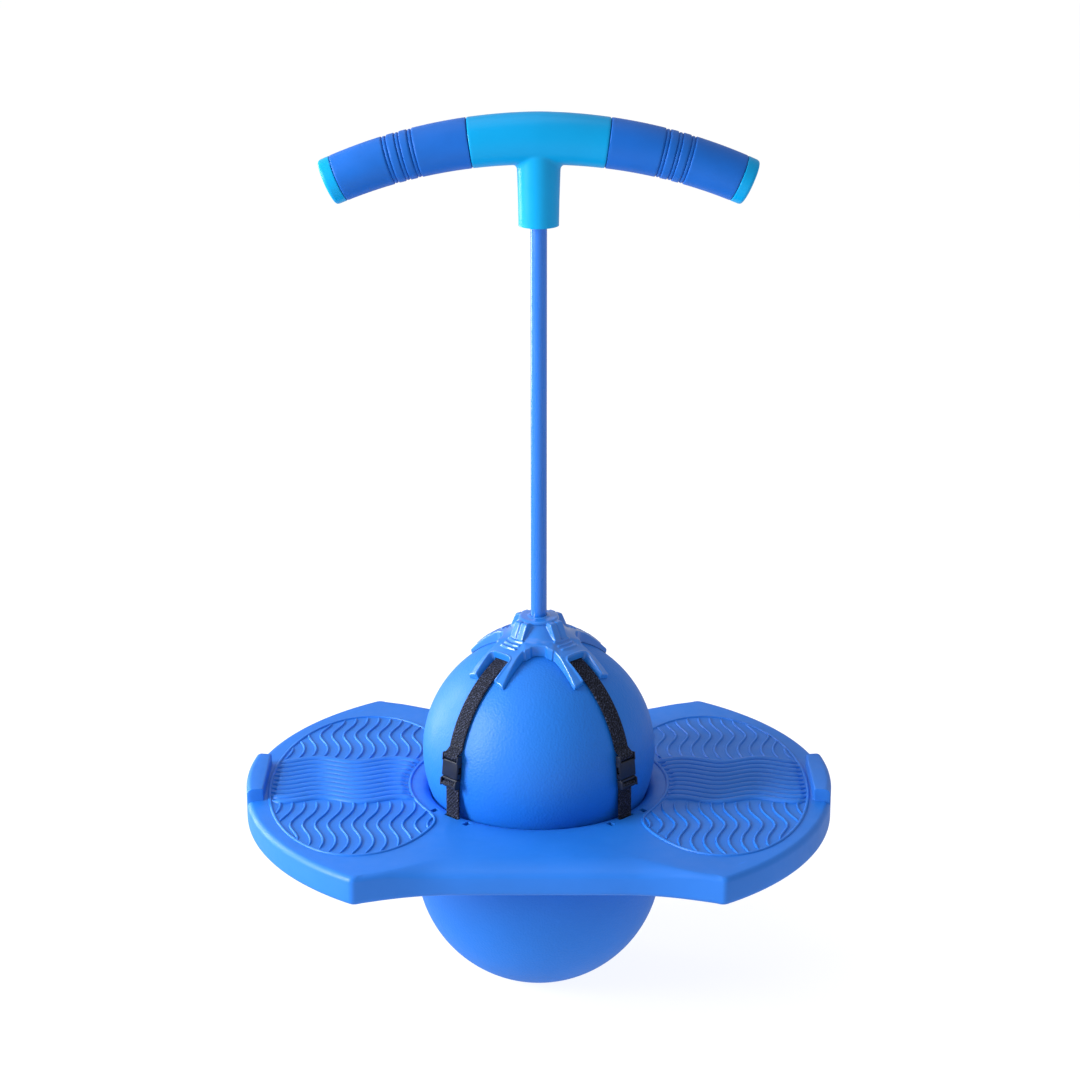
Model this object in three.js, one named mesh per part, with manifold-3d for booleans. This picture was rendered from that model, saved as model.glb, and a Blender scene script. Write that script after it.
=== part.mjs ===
// Ball jumper: a double-lobed bouncing ball held in a foot deck, with a strapped-on claw,
// a tube and a T handle. Millimetres, +Z up. The origin is on the floor under the middle of the ball,
// and the front is -Y.
import * as THREE from "three";
import { mergeVertices } from "three/addons/utils/BufferGeometryUtils.js";
import Module from "manifold-3d";

const wasm = await Module();
wasm.setup();

// ---------------------------------------------------------------- driving dimensions

// The ball: two spheres that meet in a waist, standing on a small flat patch.
const LOWER_RADIUS = 105.9;
const UPPER_RADIUS = 98.7;
const CONTACT_RADIUS = 28;
const BALL_WALL = 3;
const LOBE_SPACING = 103.8;
const LOWER_Z = Math.sqrt(LOWER_RADIUS ** 2 - CONTACT_RADIUS ** 2);
const UPPER_Z = LOWER_Z + LOBE_SPACING;
const BALL_TOP = UPPER_Z + UPPER_RADIUS;

// The valve in the back of the lower lobe.
const VALVE_TILT = THREE.MathUtils.degToRad(-23);
const VALVE_BORE = 4.6;
const VALVE_RECESS = 7.6;
const VALVE_RECESS_DEPTH = 2.4;
const VALVE_BOSS = 10.5;

// The deck: two round lobes joined by a waisted middle, blow-moulded with a hollow inside.
const DECK_TOP = 174.4;
const DECK_THICK = 24.8;
const DECK_BOTTOM = DECK_TOP - DECK_THICK;
const DECK_WALL = 3.2;
const DECK_EDGE_ROUND = 5;
const DECK_LOBE_X = 16.2;
const DECK_LOBE_RADIUS = 232.8;
const DECK_CORNER = new THREE.Vector2(148.3, 191.7);
const DECK_WAIST_Y = 174;
const DECK_WAIST_X = 62;

// The rolled lip round the deck's hole, as a round nose.
const LIP_RADIUS = 104.2;
const LIP_NOSE = 13.4;
const LIP_Z = DECK_TOP - LIP_NOSE;

// The foot lands and the raised stops at the deck's ends.
const LAND_X = 150;
const LAND_HALF_X = 79;
const LAND_HALF_Y = 151;
const LAND_RING = 110;
const LAND_RISE = 0.8;
const STOP_HALF_WIDTH = 43;
const STOP_RISE = 10;
const STOP_INNER_X = 232;

// The dimples that tie the deck's two skins together: rings about the axis, with azimuths in degrees.
const TIE_RINGS = [
  { radius: 150, azimuths: [-38, 0, 38] },
  { radius: 202, azimuths: [-33, -11, 11, 33] },
];
const TIE_MOUTH = 8;
const TIE_TIP = 4.5;
const BLOW_HOLE_RADIUS = 3;
const BLOW_HOLE_Y = 150;

// The claw on top of the ball. Heights are above the floor, and polar angles are from straight up.
const CLAW_GAP = 0.4;
const CLAW_THICK = 8.1;
const CLAW_INNER = UPPER_RADIUS + CLAW_GAP;
const CLAW_OUTER = CLAW_INNER + CLAW_THICK;
const CLAW_REACH = 65;
const DOME_POLAR = 44;
const TAPER_POLAR = 24;
const TIP_THICK = 4.6;
const ARCH_X = 70.1;
const ARCH_RADIUS = 35.1;
const ARCH_DRAFT = 2;
const FORK_START = 43;
const FORK_HALF_WIDTH = 9;
const BOSS_RADIUS = 16;
const BOSS_BASE = 306;
const BOSS_TOP = 326;
const RIM_RADIUS = 17;
const RIM_THICK = 3.2;
const BRACE_WIDTH = 12.5;
const BRACE_INNER = 8;
const BRACE_TOP_RADIUS = 18.5;
const BRACE_FOOT_RADIUS = 26;
const BRACE_FOOT_TOP = 313.2;
const BRACE_BASE = 307;
const LEG_BAR_POLARS = [15.4, 18.2, 21];
const LEG_BAR_HALF = 0.9;
const LEG_BAR_HALF_LENGTH = 8;
const LEG_BAR_RISE = 1.2;
const CHANNEL_START = 23;
const TUBE_FOOT = 316.3;

// What holds the tube down on the claw.
const BOLT_RECESS_RADIUS = 7.2;
const BOLT_RECESS_TOP = 311.3;
const BOLT_HOLE = 2.75;
const BOLT_HEAD_RADIUS = 4.6;
const BOLT_HEAD_LOW = 306.2;
const BOLT_HEAD_HIGH = 309.7;
const BOLT_RADIUS = 2.4;
const BOLT_END = 333;
const WASHER_RADIUS = 5.8;
const WASHER_LOW = 310;
const WASHER_HIGH = 311;
const INSERT_TOP = 337;

// The tube and the T handle. The bar is bent along an arc that is low at both ends.
const TUBE_RADIUS = 6.7;
const TUBE_WALL = 1.2;
const TUBE_TOP = 699;
const FIT_GAP = 0.3;
const STEM_BOTTOM = 657.9;
const STEM_BOTTOM_RADIUS = 16.25;
const STEM_TOP_RADIUS = 17.5;
const STEM_FLARE = 2.6;
const BAR_Z = 727.8;
const BAR_BEND = 415;
const BAR_MID_RADIUS = 21;
const BAR_END_RADIUS = 19;
const BAR_HALF_LENGTH = 173.8;
const BAR_CENTRE_HALF = 55.2;
const CAP_LENGTH = 10;
const SPIGOT_RADIUS = 15.4;
const BAR_BORE = 11.5;
const BAR_BORE_START = 27;
const GRIP_GROOVE_MID = 109.5;
const GRIP_GROOVE_PITCH = 10;
const GRIP_GROOVE_HALF = 1.3;
const GRIP_GROOVE_DEPTH = 1.3;
const STEM_SCREW_Z = 672;
const SCREW_HOLE = 2.3;
const SCREW_HEAD_HOLE = 4.4;
const SCREW_HEAD_SEAT = 12.4;

// The straps: webbing over the ball at four azimuths, each under a leg of the claw, with a side-release buckle.
const STRAP_AZIMUTHS = { fr: -45, br: 45, bl: 135, fl: 225 };
const LEG_AZIMUTHS = Object.values(STRAP_AZIMUTHS);
const WEB_WIDTH = 15;
const WEB_THICK = 1.6;
const WEB_RADIUS = UPPER_RADIUS + 1.6;
const WEB_TOP_ANGLE = 15;
const LOOP_RADIUS = 2.6;
const BUCKLE_R = 101.7;
const BUCKLE_Z = 216.2;
const BUCKLE_LEAN = THREE.MathUtils.degToRad(5.9);
const BUCKLE_WIDTH = 20;
const BUCKLE_THICK = 6;
const BUCKLE_BAR = 1.5;
const FEMALE_TOP = 8.2;
const FEMALE_BOTTOM = -6.3;
const BUCKLE_ROOM_HALF = 8.4;
const BUCKLE_ROOM_DEPTH = 1.8;
const WINDOW_LOW = -1.5;
const WINDOW_HIGH = 4.5;
const UPPER_BAR_S = 12;
const LOWER_BAR_S = -12.6;
const EAR_DEPTH = 2;
const MALE_TOP = FEMALE_BOTTOM - 0.4;
const MALE_BOTTOM = MALE_TOP - 2.2;
const MALE_HALF_WIDTH = 9.4;
const MALE_DEPTH = 2.8;
const GUIDE_HALF = 1.2;
const GUIDE_TOP = 3.2;
const PRONG_DEPTH = 1.4;
const PRONG_NEAR = 5.2;
const PRONG_FAR = 7.2;
const PRONG_TOP = 4.2;
const BARB_FAR = 8;
const BARB_LOW = -0.4;
const BARB_HIGH = 3.8;

// The anchor under the deck that each lower strap is looped round.
const ANCHOR_R = 104;
const ANCHOR_Z = 153.2;
const ANCHOR_BAR = 2;
const ANCHOR_LOOP = 3.1;
const ANCHOR_HALF_LENGTH = 21.6;
const PEG_OFFSET = 19.4;
const PEG_R = 102.8;
const PEG_SIDE = 4.2;
const PEG_TOP = 171;

// The way through the lip for one strap: a slot, two peg holes, the anchor's pocket and a solid boss round them.
const SLOT_NEAR = 99.4;
const SLOT_FAR = 103.8;
const SLOT_HALF = WEB_WIDTH / 2 + 0.6;
const PEG_HOLE_NEAR = 100.2;
const PEG_HOLE_FAR = 106.9;
const PEG_HOLE_HALF = 2.5;
const POCKET_NEAR = 90;
const POCKET_FAR = 109.4;
const POCKET_HALF = 24;
const POCKET_TOP = 158.8;
const LIP_BOSS_NEAR = 80;
const LIP_BOSS_FAR = 112;
const LIP_BOSS_HALF = 27;

// ---------------------------------------------------------------- solids

// A closed geometry as a solid, whichever way its faces run.
function solid(geometry) {
  const bare = geometry.index ? geometry.toNonIndexed() : geometry.clone();
  bare.deleteAttribute("normal");
  bare.deleteAttribute("uv");
  const merged = mergeVertices(bare, 1e-4);
  const position = merged.attributes.position;
  const corners = [];
  let sixVolumes = 0;
  const [a, b, c] = [new THREE.Vector3(), new THREE.Vector3(), new THREE.Vector3()];
  for (let i = 0; i < merged.index.count; i += 3) {
    const [p, q, r] = [0, 1, 2].map((k) => merged.index.getX(i + k));
    if (p === q || q === r || r === p) continue;
    corners.push(p, q, r);
    a.fromBufferAttribute(position, p);
    b.fromBufferAttribute(position, q);
    c.fromBufferAttribute(position, r);
    sixVolumes += a.dot(b.cross(c));
  }
  if (sixVolumes < 0) corners.reverse();
  const mesh = new wasm.Mesh({
    numProp: 3,
    vertProperties: new Float32Array(position.array),
    triVerts: new Uint32Array(corners),
  });
  return new wasm.Manifold(mesh);
}

function geometryOf(made) {
  const mesh = made.getMesh();
  const geometry = new THREE.BufferGeometry();
  geometry.setAttribute("position", new THREE.BufferAttribute(mesh.vertProperties, 3));
  geometry.setIndex(new THREE.BufferAttribute(mesh.triVerts, 1));
  geometry.computeVertexNormals();
  return geometry;
}

function joined(solids) {
  return solids.reduce((all, next) => all.add(next));
}

function cut(body, tools) {
  return tools.reduce((left, tool) => left.subtract(tool), body);
}

// A profile of [radius, height] pairs turned round +Z.
function turned(profile, segments) {
  const points = profile.map(([r, z]) => new THREE.Vector2(r, z));
  return solid(new THREE.LatheGeometry(points, segments).rotateX(Math.PI / 2));
}

function rod(radius, low, high, segments, topRadius = radius) {
  return turned([[0, low], [radius, low], [topRadius, high], [0, high]], segments);
}

// A box between two corners.
function block(low, high) {
  const size = high.map((value, i) => value - low[i]);
  const middle = high.map((value, i) => (value + low[i]) / 2);
  return solid(new THREE.BoxGeometry(...size).translate(...middle));
}

// An outline in X and Y raised from one height to another.
function raised(shape, low, high, curveSegments) {
  const depth = high - low;
  const geometry = new THREE.ExtrudeGeometry(shape, { depth, bevelEnabled: false, curveSegments });
  return solid(geometry.translate(0, 0, low));
}

// An outline in [radius, height], as thick as a strap is wide, standing in the X-Z plane about Y = 0.
function upright(shape, width, curveSegments) {
  const geometry = new THREE.ExtrudeGeometry(shape, { depth: width, bevelEnabled: false, curveSegments });
  return solid(geometry.translate(0, 0, -width / 2).rotateX(Math.PI / 2));
}

function moved(made, matrix) {
  return solid(geometryOf(made).applyMatrix4(matrix));
}

function turnedAbout(made, azimuthDegrees) {
  return moved(made, new THREE.Matrix4().makeRotationZ(THREE.MathUtils.degToRad(azimuthDegrees)));
}

// Points of an arc in [radius, height], from one polar angle to another, counted from straight up.
function arc(centre, radius, from, to, steps) {
  return Array.from({ length: steps + 1 }, (_, i) => {
    const angle = THREE.MathUtils.degToRad(from + ((to - from) * i) / steps);
    return [centre[0] + radius * Math.sin(angle), centre[1] + radius * Math.cos(angle)];
  });
}

// ---------------------------------------------------------------- materials

const finish = (color, roughness, metalness = 0) =>
  new THREE.MeshStandardMaterial({ color, roughness, metalness });

const BALL_BLUE = finish(0x3f7ce0, 0.6);
const DECK_BLUE = finish(0x3b78dd, 0.45);
const CLAW_BLUE = finish(0x4486e6, 0.35);
const TUBE_BLUE = finish(0x3f79dc, 0.3, 0.2);
const HANDLE_CYAN = finish(0x1fa8dc, 0.35);
const GRIP_BLUE = finish(0x2763c0, 0.65);
const WEB_BLACK = finish(0x2e2d30, 0.9);
const BUCKLE_GREY = finish(0x2f3644, 0.5);
const STEEL = finish(0xa9adb3, 0.35, 1);

function part(name, made, material) {
  const mesh = new THREE.Mesh(geometryOf(made), material);
  mesh.name = name;
  return mesh;
}

// ---------------------------------------------------------------- the ball

// The polar angle, from straight up, at which a lobe meets the other in the waist.
function waistAngles(lowerRadius, upperRadius) {
  const lowerRise = (lowerRadius ** 2 - upperRadius ** 2 + LOBE_SPACING ** 2) / (2 * LOBE_SPACING);
  const lower = Math.acos(lowerRise / lowerRadius);
  const upper = Math.acos((lowerRise - LOBE_SPACING) / upperRadius);
  return [lower, upper].map(THREE.MathUtils.radToDeg);
}

function lobes(inset, steps, segments) {
  const lowerRadius = LOWER_RADIUS - inset;
  const upperRadius = UPPER_RADIUS - inset;
  const [lowerWaist, upperWaist] = waistAngles(lowerRadius, upperRadius);
  const patch = 180 - THREE.MathUtils.radToDeg(Math.acos((LOWER_Z - inset) / lowerRadius));
  const profile = [
    [0, inset],
    ...arc([0, LOWER_Z], lowerRadius, patch, lowerWaist, steps),
    ...arc([0, UPPER_Z], upperRadius, upperWaist, 0, steps).slice(1),
  ];
  profile.at(-1)[0] = 0;
  return turned(profile, segments);
}

// The valve's own axis: +Z of the valve points out of the ball, backwards and down.
function valveMatrix() {
  const out = new THREE.Vector3(0, Math.cos(VALVE_TILT), Math.sin(VALVE_TILT));
  const turn = new THREE.Quaternion().setFromUnitVectors(new THREE.Vector3(0, 0, 1), out);
  const seat = out.clone().multiplyScalar(LOWER_RADIUS).add(new THREE.Vector3(0, 0, LOWER_Z));
  return new THREE.Matrix4().compose(seat, turn, new THREE.Vector3(1, 1, 1));
}

function ball() {
  const shell = lobes(0, 11, 40).subtract(lobes(BALL_WALL, 7, 24));
  const boss = moved(rod(VALVE_BOSS, -8, -2, 16), valveMatrix());
  const recess = moved(rod(VALVE_RECESS, -VALVE_RECESS_DEPTH, 6, 16), valveMatrix());
  const bore = moved(rod(VALVE_BORE, -12, 6, 16), valveMatrix());
  return cut(shell.add(boss), [recess, bore]);
}

function valvePlug() {
  const head = VALVE_RECESS - 0.5;
  const shank = VALVE_BORE - 0.4;
  const seat = -VALVE_RECESS_DEPTH + FIT_GAP;
  const profile = [
    [0, -10.5],
    [shank - 0.8, -10.5],
    [shank, -9],
    [shank, seat],
    [head, seat],
    [head, seat + 1.3],
    [head - 1, seat + 1.9],
    [0, seat + 1.9],
  ];
  return moved(turned(profile, 16), valveMatrix());
}

// ---------------------------------------------------------------- the deck

function deckOutline(inset) {
  const radius = DECK_LOBE_RADIUS - inset;
  const waistY = DECK_WAIST_Y - inset;
  const corner = DECK_CORNER.clone().sub(new THREE.Vector2(inset * 0.62, inset * 1.2));
  const sweep = Math.atan2(corner.y, corner.x - DECK_LOBE_X);
  const shape = new THREE.Shape();
  shape.absarc(DECK_LOBE_X, 0, radius, -sweep, sweep, false);
  waistCurve(shape, corner, waistY, 1);
  shape.absarc(-DECK_LOBE_X, 0, radius, Math.PI - sweep, Math.PI + sweep, false);
  waistCurve(shape, corner, waistY, -1);
  return shape;
}

// The long edge from one corner to the other, at +Y for side 1 and at -Y for side -1.
function waistCurve(shape, corner, waistY, side) {
  const [dip, turn] = [corner.y - 10.2, DECK_WAIST_X + 36];
  const to = (x, y) => [x * side, y * side];
  shape.bezierCurveTo(...to(corner.x - 30, dip), ...to(turn, waistY), ...to(DECK_WAIST_X, waistY));
  shape.lineTo(...to(-DECK_WAIST_X, waistY));
  shape.bezierCurveTo(...to(-turn, waistY), ...to(-corner.x + 30, dip), ...to(-corner.x, corner.y));
}

// What is cut out of the deck for the ball: the space inside the rolled lip.
function ballOpening(noseRadius, segments, steps) {
  const low = DECK_BOTTOM - 5;
  const high = DECK_TOP + 15;
  const nose = arc([LIP_RADIUS, LIP_Z], noseRadius, 180, 360, steps);
  return turned([[0, low], [LIP_RADIUS, low], ...nose, [LIP_RADIUS, high], [0, high]], segments);
}

function tiePositions() {
  const sides = [0, 180];
  return sides.flatMap((side) =>
    TIE_RINGS.flatMap(({ radius, azimuths }) =>
      azimuths.map((azimuth) => {
        const angle = THREE.MathUtils.degToRad(azimuth + side);
        return [radius * Math.cos(angle), radius * Math.sin(angle)];
      }),
    ),
  );
}

function tieCone(wall, low, high) {
  return ([x, y]) => moved(rod(TIE_MOUTH + wall, low, high, 8, TIE_TIP + wall), translation(x, y, 0));
}

function translation(x, y, z) {
  return new THREE.Matrix4().makeTranslation(x, y, z);
}

function deckHollow() {
  const low = DECK_BOTTOM + DECK_WALL;
  const high = DECK_TOP - DECK_WALL;
  const inside = raised(deckOutline(DECK_WALL), low, high, 7);
  const nose = ballOpening(LIP_NOSE - DECK_WALL, 24, 4);
  const bosses = Object.values(STRAP_AZIMUTHS).map((azimuth) =>
    turnedAbout(
      block([LIP_BOSS_NEAR, -LIP_BOSS_HALF, low - 1], [LIP_BOSS_FAR, LIP_BOSS_HALF, high + 1]),
      azimuth,
    ),
  );
  const ties = tiePositions().map(tieCone(DECK_WALL, low - 1, high + 1));
  return cut(inside, [nose, ...bosses, ...ties]);
}

// The way through the lip for one strap, the two peg holes beside it and the pocket for its anchor.
function strapPassage(azimuth) {
  const [low, high] = [DECK_BOTTOM - 1, DECK_TOP + 1];
  const slot = block([SLOT_NEAR, -SLOT_HALF, low], [SLOT_FAR, SLOT_HALF, high]);
  const pegHoles = [-PEG_OFFSET, PEG_OFFSET].map((y) =>
    block([PEG_HOLE_NEAR, y - PEG_HOLE_HALF, low], [PEG_HOLE_FAR, y + PEG_HOLE_HALF, high]),
  );
  const pocket = block([POCKET_NEAR, -POCKET_HALF, low - 1], [POCKET_FAR, POCKET_HALF, POCKET_TOP]);
  return turnedAbout(joined([slot, ...pegHoles, pocket]), azimuth);
}

function footLand(side) {
  const outline = new THREE.Shape();
  outline.absellipse(side * LAND_X, 0, LAND_HALF_X, LAND_HALF_Y, 0, Math.PI * 2, false);
  const land = raised(outline, DECK_TOP - 0.6, DECK_TOP + LAND_RISE, 18);
  return land.subtract(rod(LAND_RING, DECK_TOP - 2, DECK_TOP + 2, 40));
}

// The raised stop at one end: the deck's end wall carried up, with sloping ends.
function endStop(side) {
  const outline = new THREE.Shape();
  const half = STOP_HALF_WIDTH;
  outline.moveTo(-half, 0);
  outline.lineTo(half, 0);
  outline.lineTo(half - 3, STOP_RISE + 4);
  outline.lineTo(-half + 3, STOP_RISE + 4);
  const length = 40;
  const face = new THREE.ExtrudeGeometry(outline, { depth: length, bevelEnabled: false });
  const [x, y, z] = [new THREE.Vector3(1, 0, 0), new THREE.Vector3(0, 1, 0), new THREE.Vector3(0, 0, 1)];
  face.applyMatrix4(new THREE.Matrix4().makeBasis(y, z, x));
  face.translate(STOP_INNER_X, 0, DECK_TOP - 4);
  const edge = raised(deckOutline(1.6), DECK_TOP - 6, DECK_TOP + STOP_RISE + 6, 9);
  const made = solid(face).intersect(edge);
  return side > 0 ? made : turnedAbout(made, 180);
}

function deck() {
  const bevel = {
    bevelThickness: DECK_EDGE_ROUND,
    bevelSize: DECK_EDGE_ROUND,
    bevelOffset: -DECK_EDGE_ROUND,
    bevelSegments: 2,
  };
  const outline = deckOutline(0);
  const depth = DECK_THICK - 2 * DECK_EDGE_ROUND;
  const board = new THREE.ExtrudeGeometry(outline, { depth, curveSegments: 9, ...bevel });
  const skin = solid(board.translate(0, 0, DECK_BOTTOM + DECK_EDGE_ROUND));
  const full = joined([skin, footLand(1), footLand(-1), endStop(1), endStop(-1)]);
  const ties = tiePositions().map(tieCone(0, DECK_BOTTOM - 0.5, DECK_TOP - DECK_WALL));
  const blowPin = rod(BLOW_HOLE_RADIUS, DECK_BOTTOM - 1, DECK_BOTTOM + 6, 10);
  const blowHole = moved(blowPin, translation(0, BLOW_HOLE_Y, 0));
  const passages = Object.values(STRAP_AZIMUTHS).map(strapPassage);
  return cut(full, [ballOpening(LIP_NOSE, 40, 6), deckHollow(), blowHole, ...ties, ...passages]);
}

// ---------------------------------------------------------------- the claw

function cap(inner, outer, polar, steps, segments) {
  const centre = [0, UPPER_Z];
  const over = arc(centre, outer, 0, polar, steps);
  const under = arc(centre, inner, polar, 0, steps);
  over[0][0] = 0;
  under.at(-1)[0] = 0;
  return turned([...over, ...under], segments);
}

// Four forked legs, as the plan that is kept of the dome.
function legPlan() {
  const low = UPPER_Z + 50;
  const high = BALL_TOP + 30;
  const disc = rod(CLAW_REACH, low, high, 36);
  const arch = rod(ARCH_RADIUS - ARCH_DRAFT, low, high, 20, ARCH_RADIUS + ARCH_DRAFT);
  const outArch = moved(arch, translation(ARCH_X, 0, 0));
  const arches = [0, 90, 180, 270].map((azimuth) => turnedAbout(outArch, azimuth));
  const fork = block([FORK_START, -FORK_HALF_WIDTH, low], [CLAW_REACH + 5, FORK_HALF_WIDTH, high]);
  const forks = LEG_AZIMUTHS.map((azimuth) => turnedAbout(fork, azimuth));
  return cut(disc, [...arches, ...forks]);
}

// A brace from the boss's rim down to a leg's root.
function brace(azimuth) {
  const top = BOSS_TOP - 1.5;
  const shape = new THREE.Shape();
  shape.moveTo(BRACE_INNER, top);
  shape.lineTo(BRACE_TOP_RADIUS, top);
  shape.lineTo(BRACE_FOOT_RADIUS, BRACE_FOOT_TOP);
  shape.lineTo(BRACE_FOOT_RADIUS, BRACE_BASE);
  shape.lineTo(BRACE_INNER, BRACE_BASE);
  return turnedAbout(upright(shape, BRACE_WIDTH, 1), azimuth);
}

// Three low bars across a leg, each lying on the dome.
function legBars(azimuth) {
  const [half, length] = [LEG_BAR_HALF, LEG_BAR_HALF_LENGTH];
  const bar = block([-half, -length, -1.5], [half, length, LEG_BAR_RISE]);
  const bars = LEG_BAR_POLARS.map((polar) => {
    const angle = THREE.MathUtils.degToRad(polar);
    const turn = new THREE.Matrix4().makeRotationY(angle);
    const lift = translation(CLAW_OUTER * Math.sin(angle), 0, UPPER_Z + CLAW_OUTER * Math.cos(angle));
    return moved(bar, lift.multiply(turn));
  });
  return turnedAbout(joined(bars), azimuth);
}

// The claw's dome, which gets thinner towards the tips of the legs.
function clawDome() {
  const centre = [0, UPPER_Z];
  const thick = arc(centre, CLAW_OUTER, 0, TAPER_POLAR, 3);
  const [tip] = arc(centre, CLAW_INNER + TIP_THICK, DOME_POLAR, DOME_POLAR, 1);
  const [middle] = arc(centre, (CLAW_OUTER + CLAW_INNER + TIP_THICK) / 2, 34, 34, 1);
  const under = arc(centre, CLAW_INNER, DOME_POLAR, 0, 5);
  thick[0][0] = 0;
  under.at(-1)[0] = 0;
  return turned([...thick, middle, tip, ...under], 36);
}

function claw() {
  const dome = clawDome().intersect(legPlan());
  const boss = turned(
    [
      [0, BOSS_BASE],
      [BOSS_RADIUS, BOSS_BASE],
      [BOSS_RADIUS, BOSS_TOP - RIM_THICK],
      [RIM_RADIUS, BOSS_TOP - RIM_THICK + 0.8],
      [RIM_RADIUS, BOSS_TOP - 0.8],
      [RIM_RADIUS - 0.8, BOSS_TOP],
      [0, BOSS_TOP],
    ],
    28,
  );
  const body = joined([dome, boss, ...LEG_AZIMUTHS.map(brace), ...LEG_AZIMUTHS.map(legBars)]);
  const socket = rod(TUBE_RADIUS + FIT_GAP, TUBE_FOOT - FIT_GAP, BOSS_TOP + 5, 24);
  const recess = rod(BOLT_RECESS_RADIUS, BOSS_BASE - 6, BOLT_RECESS_TOP, 20);
  const boltHole = rod(BOLT_HOLE, BOSS_BASE - 6, BOSS_TOP, 12);
  const webRoom = cap(CLAW_INNER - 2, WEB_RADIUS + WEB_THICK / 2 + 0.8, DOME_POLAR, 5, 36);
  const half = WEB_WIDTH / 2 + 0.7;
  const channel = block([CHANNEL_START, -half, UPPER_Z], [CLAW_REACH + 15, half, BOSS_TOP + 4]);
  const channels = LEG_AZIMUTHS.map((azimuth) => webRoom.intersect(turnedAbout(channel, azimuth)));
  return cut(body, [socket, recess, boltHole, ...channels]);
}

function hubBolt() {
  const head = rod(BOLT_HEAD_RADIUS, BOLT_HEAD_LOW, BOLT_HEAD_HIGH, 6);
  return head.add(rod(BOLT_RADIUS, BOLT_HEAD_HIGH - 1, BOLT_END, 12));
}

function hubWasher() {
  const hole = rod(BOLT_HOLE, WASHER_LOW - 1, WASHER_HIGH + 1, 12);
  return rod(WASHER_RADIUS, WASHER_LOW, WASHER_HIGH, 16).subtract(hole);
}

function tubeInsert() {
  const outside = rod(TUBE_RADIUS - TUBE_WALL - FIT_GAP, TUBE_FOOT + FIT_GAP, INSERT_TOP, 20);
  return outside.subtract(rod(BOLT_HOLE, TUBE_FOOT - 5, INSERT_TOP + 5, 12));
}

// ---------------------------------------------------------------- the tube and the handle

function tube() {
  const wall = rod(TUBE_RADIUS, TUBE_FOOT, TUBE_TOP, 24);
  const bore = rod(TUBE_RADIUS - TUBE_WALL, TUBE_FOOT - 5, TUBE_TOP + 5, 24);
  return cut(wall, [bore, moved(rod(SCREW_HOLE, -10, 10, 12), screwMatrix())]);
}

// The stem screw's own axis: +Z of the screw points to the back.
function screwMatrix() {
  return translation(0, 0, STEM_SCREW_Z).multiply(new THREE.Matrix4().makeRotationX(-Math.PI / 2));
}

function barRadius(s) {
  return THREE.MathUtils.mapLinear(Math.abs(s), 0, BAR_HALF_LENGTH, BAR_MID_RADIUS, BAR_END_RADIUS);
}

// A profile of [radius, distance along the bar] pairs, turned round the bar and bent along its arc.
function alongBar(profile, segments) {
  const points = profile.map(([r, s]) => new THREE.Vector2(r, s));
  const straight = new THREE.LatheGeometry(points, segments).rotateZ(-Math.PI / 2);
  const position = straight.attributes.position;
  for (let i = 0; i < position.count; i++) {
    const angle = position.getX(i) / BAR_BEND;
    const reach = BAR_BEND + position.getY(i);
    const across = position.getZ(i);
    position.setXYZ(i, reach * Math.sin(angle), across, BAR_Z - BAR_BEND + reach * Math.cos(angle));
  }
  return solid(straight);
}

// Evenly spaced stations along the bar, so that a piece follows its arc.
function stations(from, to, pitch) {
  const count = Math.max(1, Math.round(Math.abs(to - from) / pitch));
  return Array.from({ length: count + 1 }, (_, i) => from + ((to - from) * i) / count);
}

function tHandle() {
  const shoulder = BAR_CENTRE_HALF;
  const end = BAR_HALF_LENGTH - CAP_LENGTH - FIT_GAP;
  const bar = alongBar(
    [
      [0, -end],
      ...stations(-end, -shoulder, 27).map((s) => [SPIGOT_RADIUS, s]),
      ...stations(-shoulder, shoulder, 18).map((s) => [barRadius(s), s]),
      ...stations(shoulder, end, 27).map((s) => [SPIGOT_RADIUS, s]),
      [0, end],
    ],
    20,
  );
  const stem = turned(
    [
      [0, STEM_BOTTOM],
      [STEM_BOTTOM_RADIUS - 0.6, STEM_BOTTOM],
      [STEM_BOTTOM_RADIUS, STEM_BOTTOM + 0.8],
      [STEM_TOP_RADIUS - 0.3, BAR_Z - 28],
      [STEM_TOP_RADIUS + 0.8, BAR_Z - 22],
      [STEM_TOP_RADIUS + STEM_FLARE, BAR_Z - 17],
      [STEM_TOP_RADIUS + STEM_FLARE, BAR_Z - 8],
      [0, BAR_Z],
    ],
    24,
  );
  const bores = [-1, 1].map((side) => {
    const wall = stations(side * BAR_BORE_START, side * (end + 6), 20).map((s) => [BAR_BORE, s]);
    return alongBar([[0, wall[0][1]], ...wall, [0, wall.at(-1)[1]]], 16);
  });
  const tubeBore = rod(TUBE_RADIUS + FIT_GAP, STEM_BOTTOM - 5, TUBE_TOP + 0.5, 24);
  const shankHole = rod(SCREW_HOLE, -11, 30, 12);
  const headHole = rod(SCREW_HEAD_HOLE, SCREW_HEAD_SEAT, 30, 16);
  const screwHole = moved(shankHole.add(headHole), screwMatrix());
  return cut(bar.add(stem), [...bores, tubeBore, screwHole]);
}

function stemScrew() {
  const radius = SCREW_HEAD_HOLE - 0.5;
  const seat = SCREW_HEAD_SEAT + FIT_GAP;
  const profile = [
    [0, seat],
    [radius, seat],
    [radius, seat + 1.7],
    [radius - 1.3, seat + 2.9],
    [0, seat + 3.2],
  ];
  const shank = rod(SCREW_HOLE - 0.4, -9.5, seat + 0.3, 12);
  return moved(turned(profile, 16).add(shank), screwMatrix());
}

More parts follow.
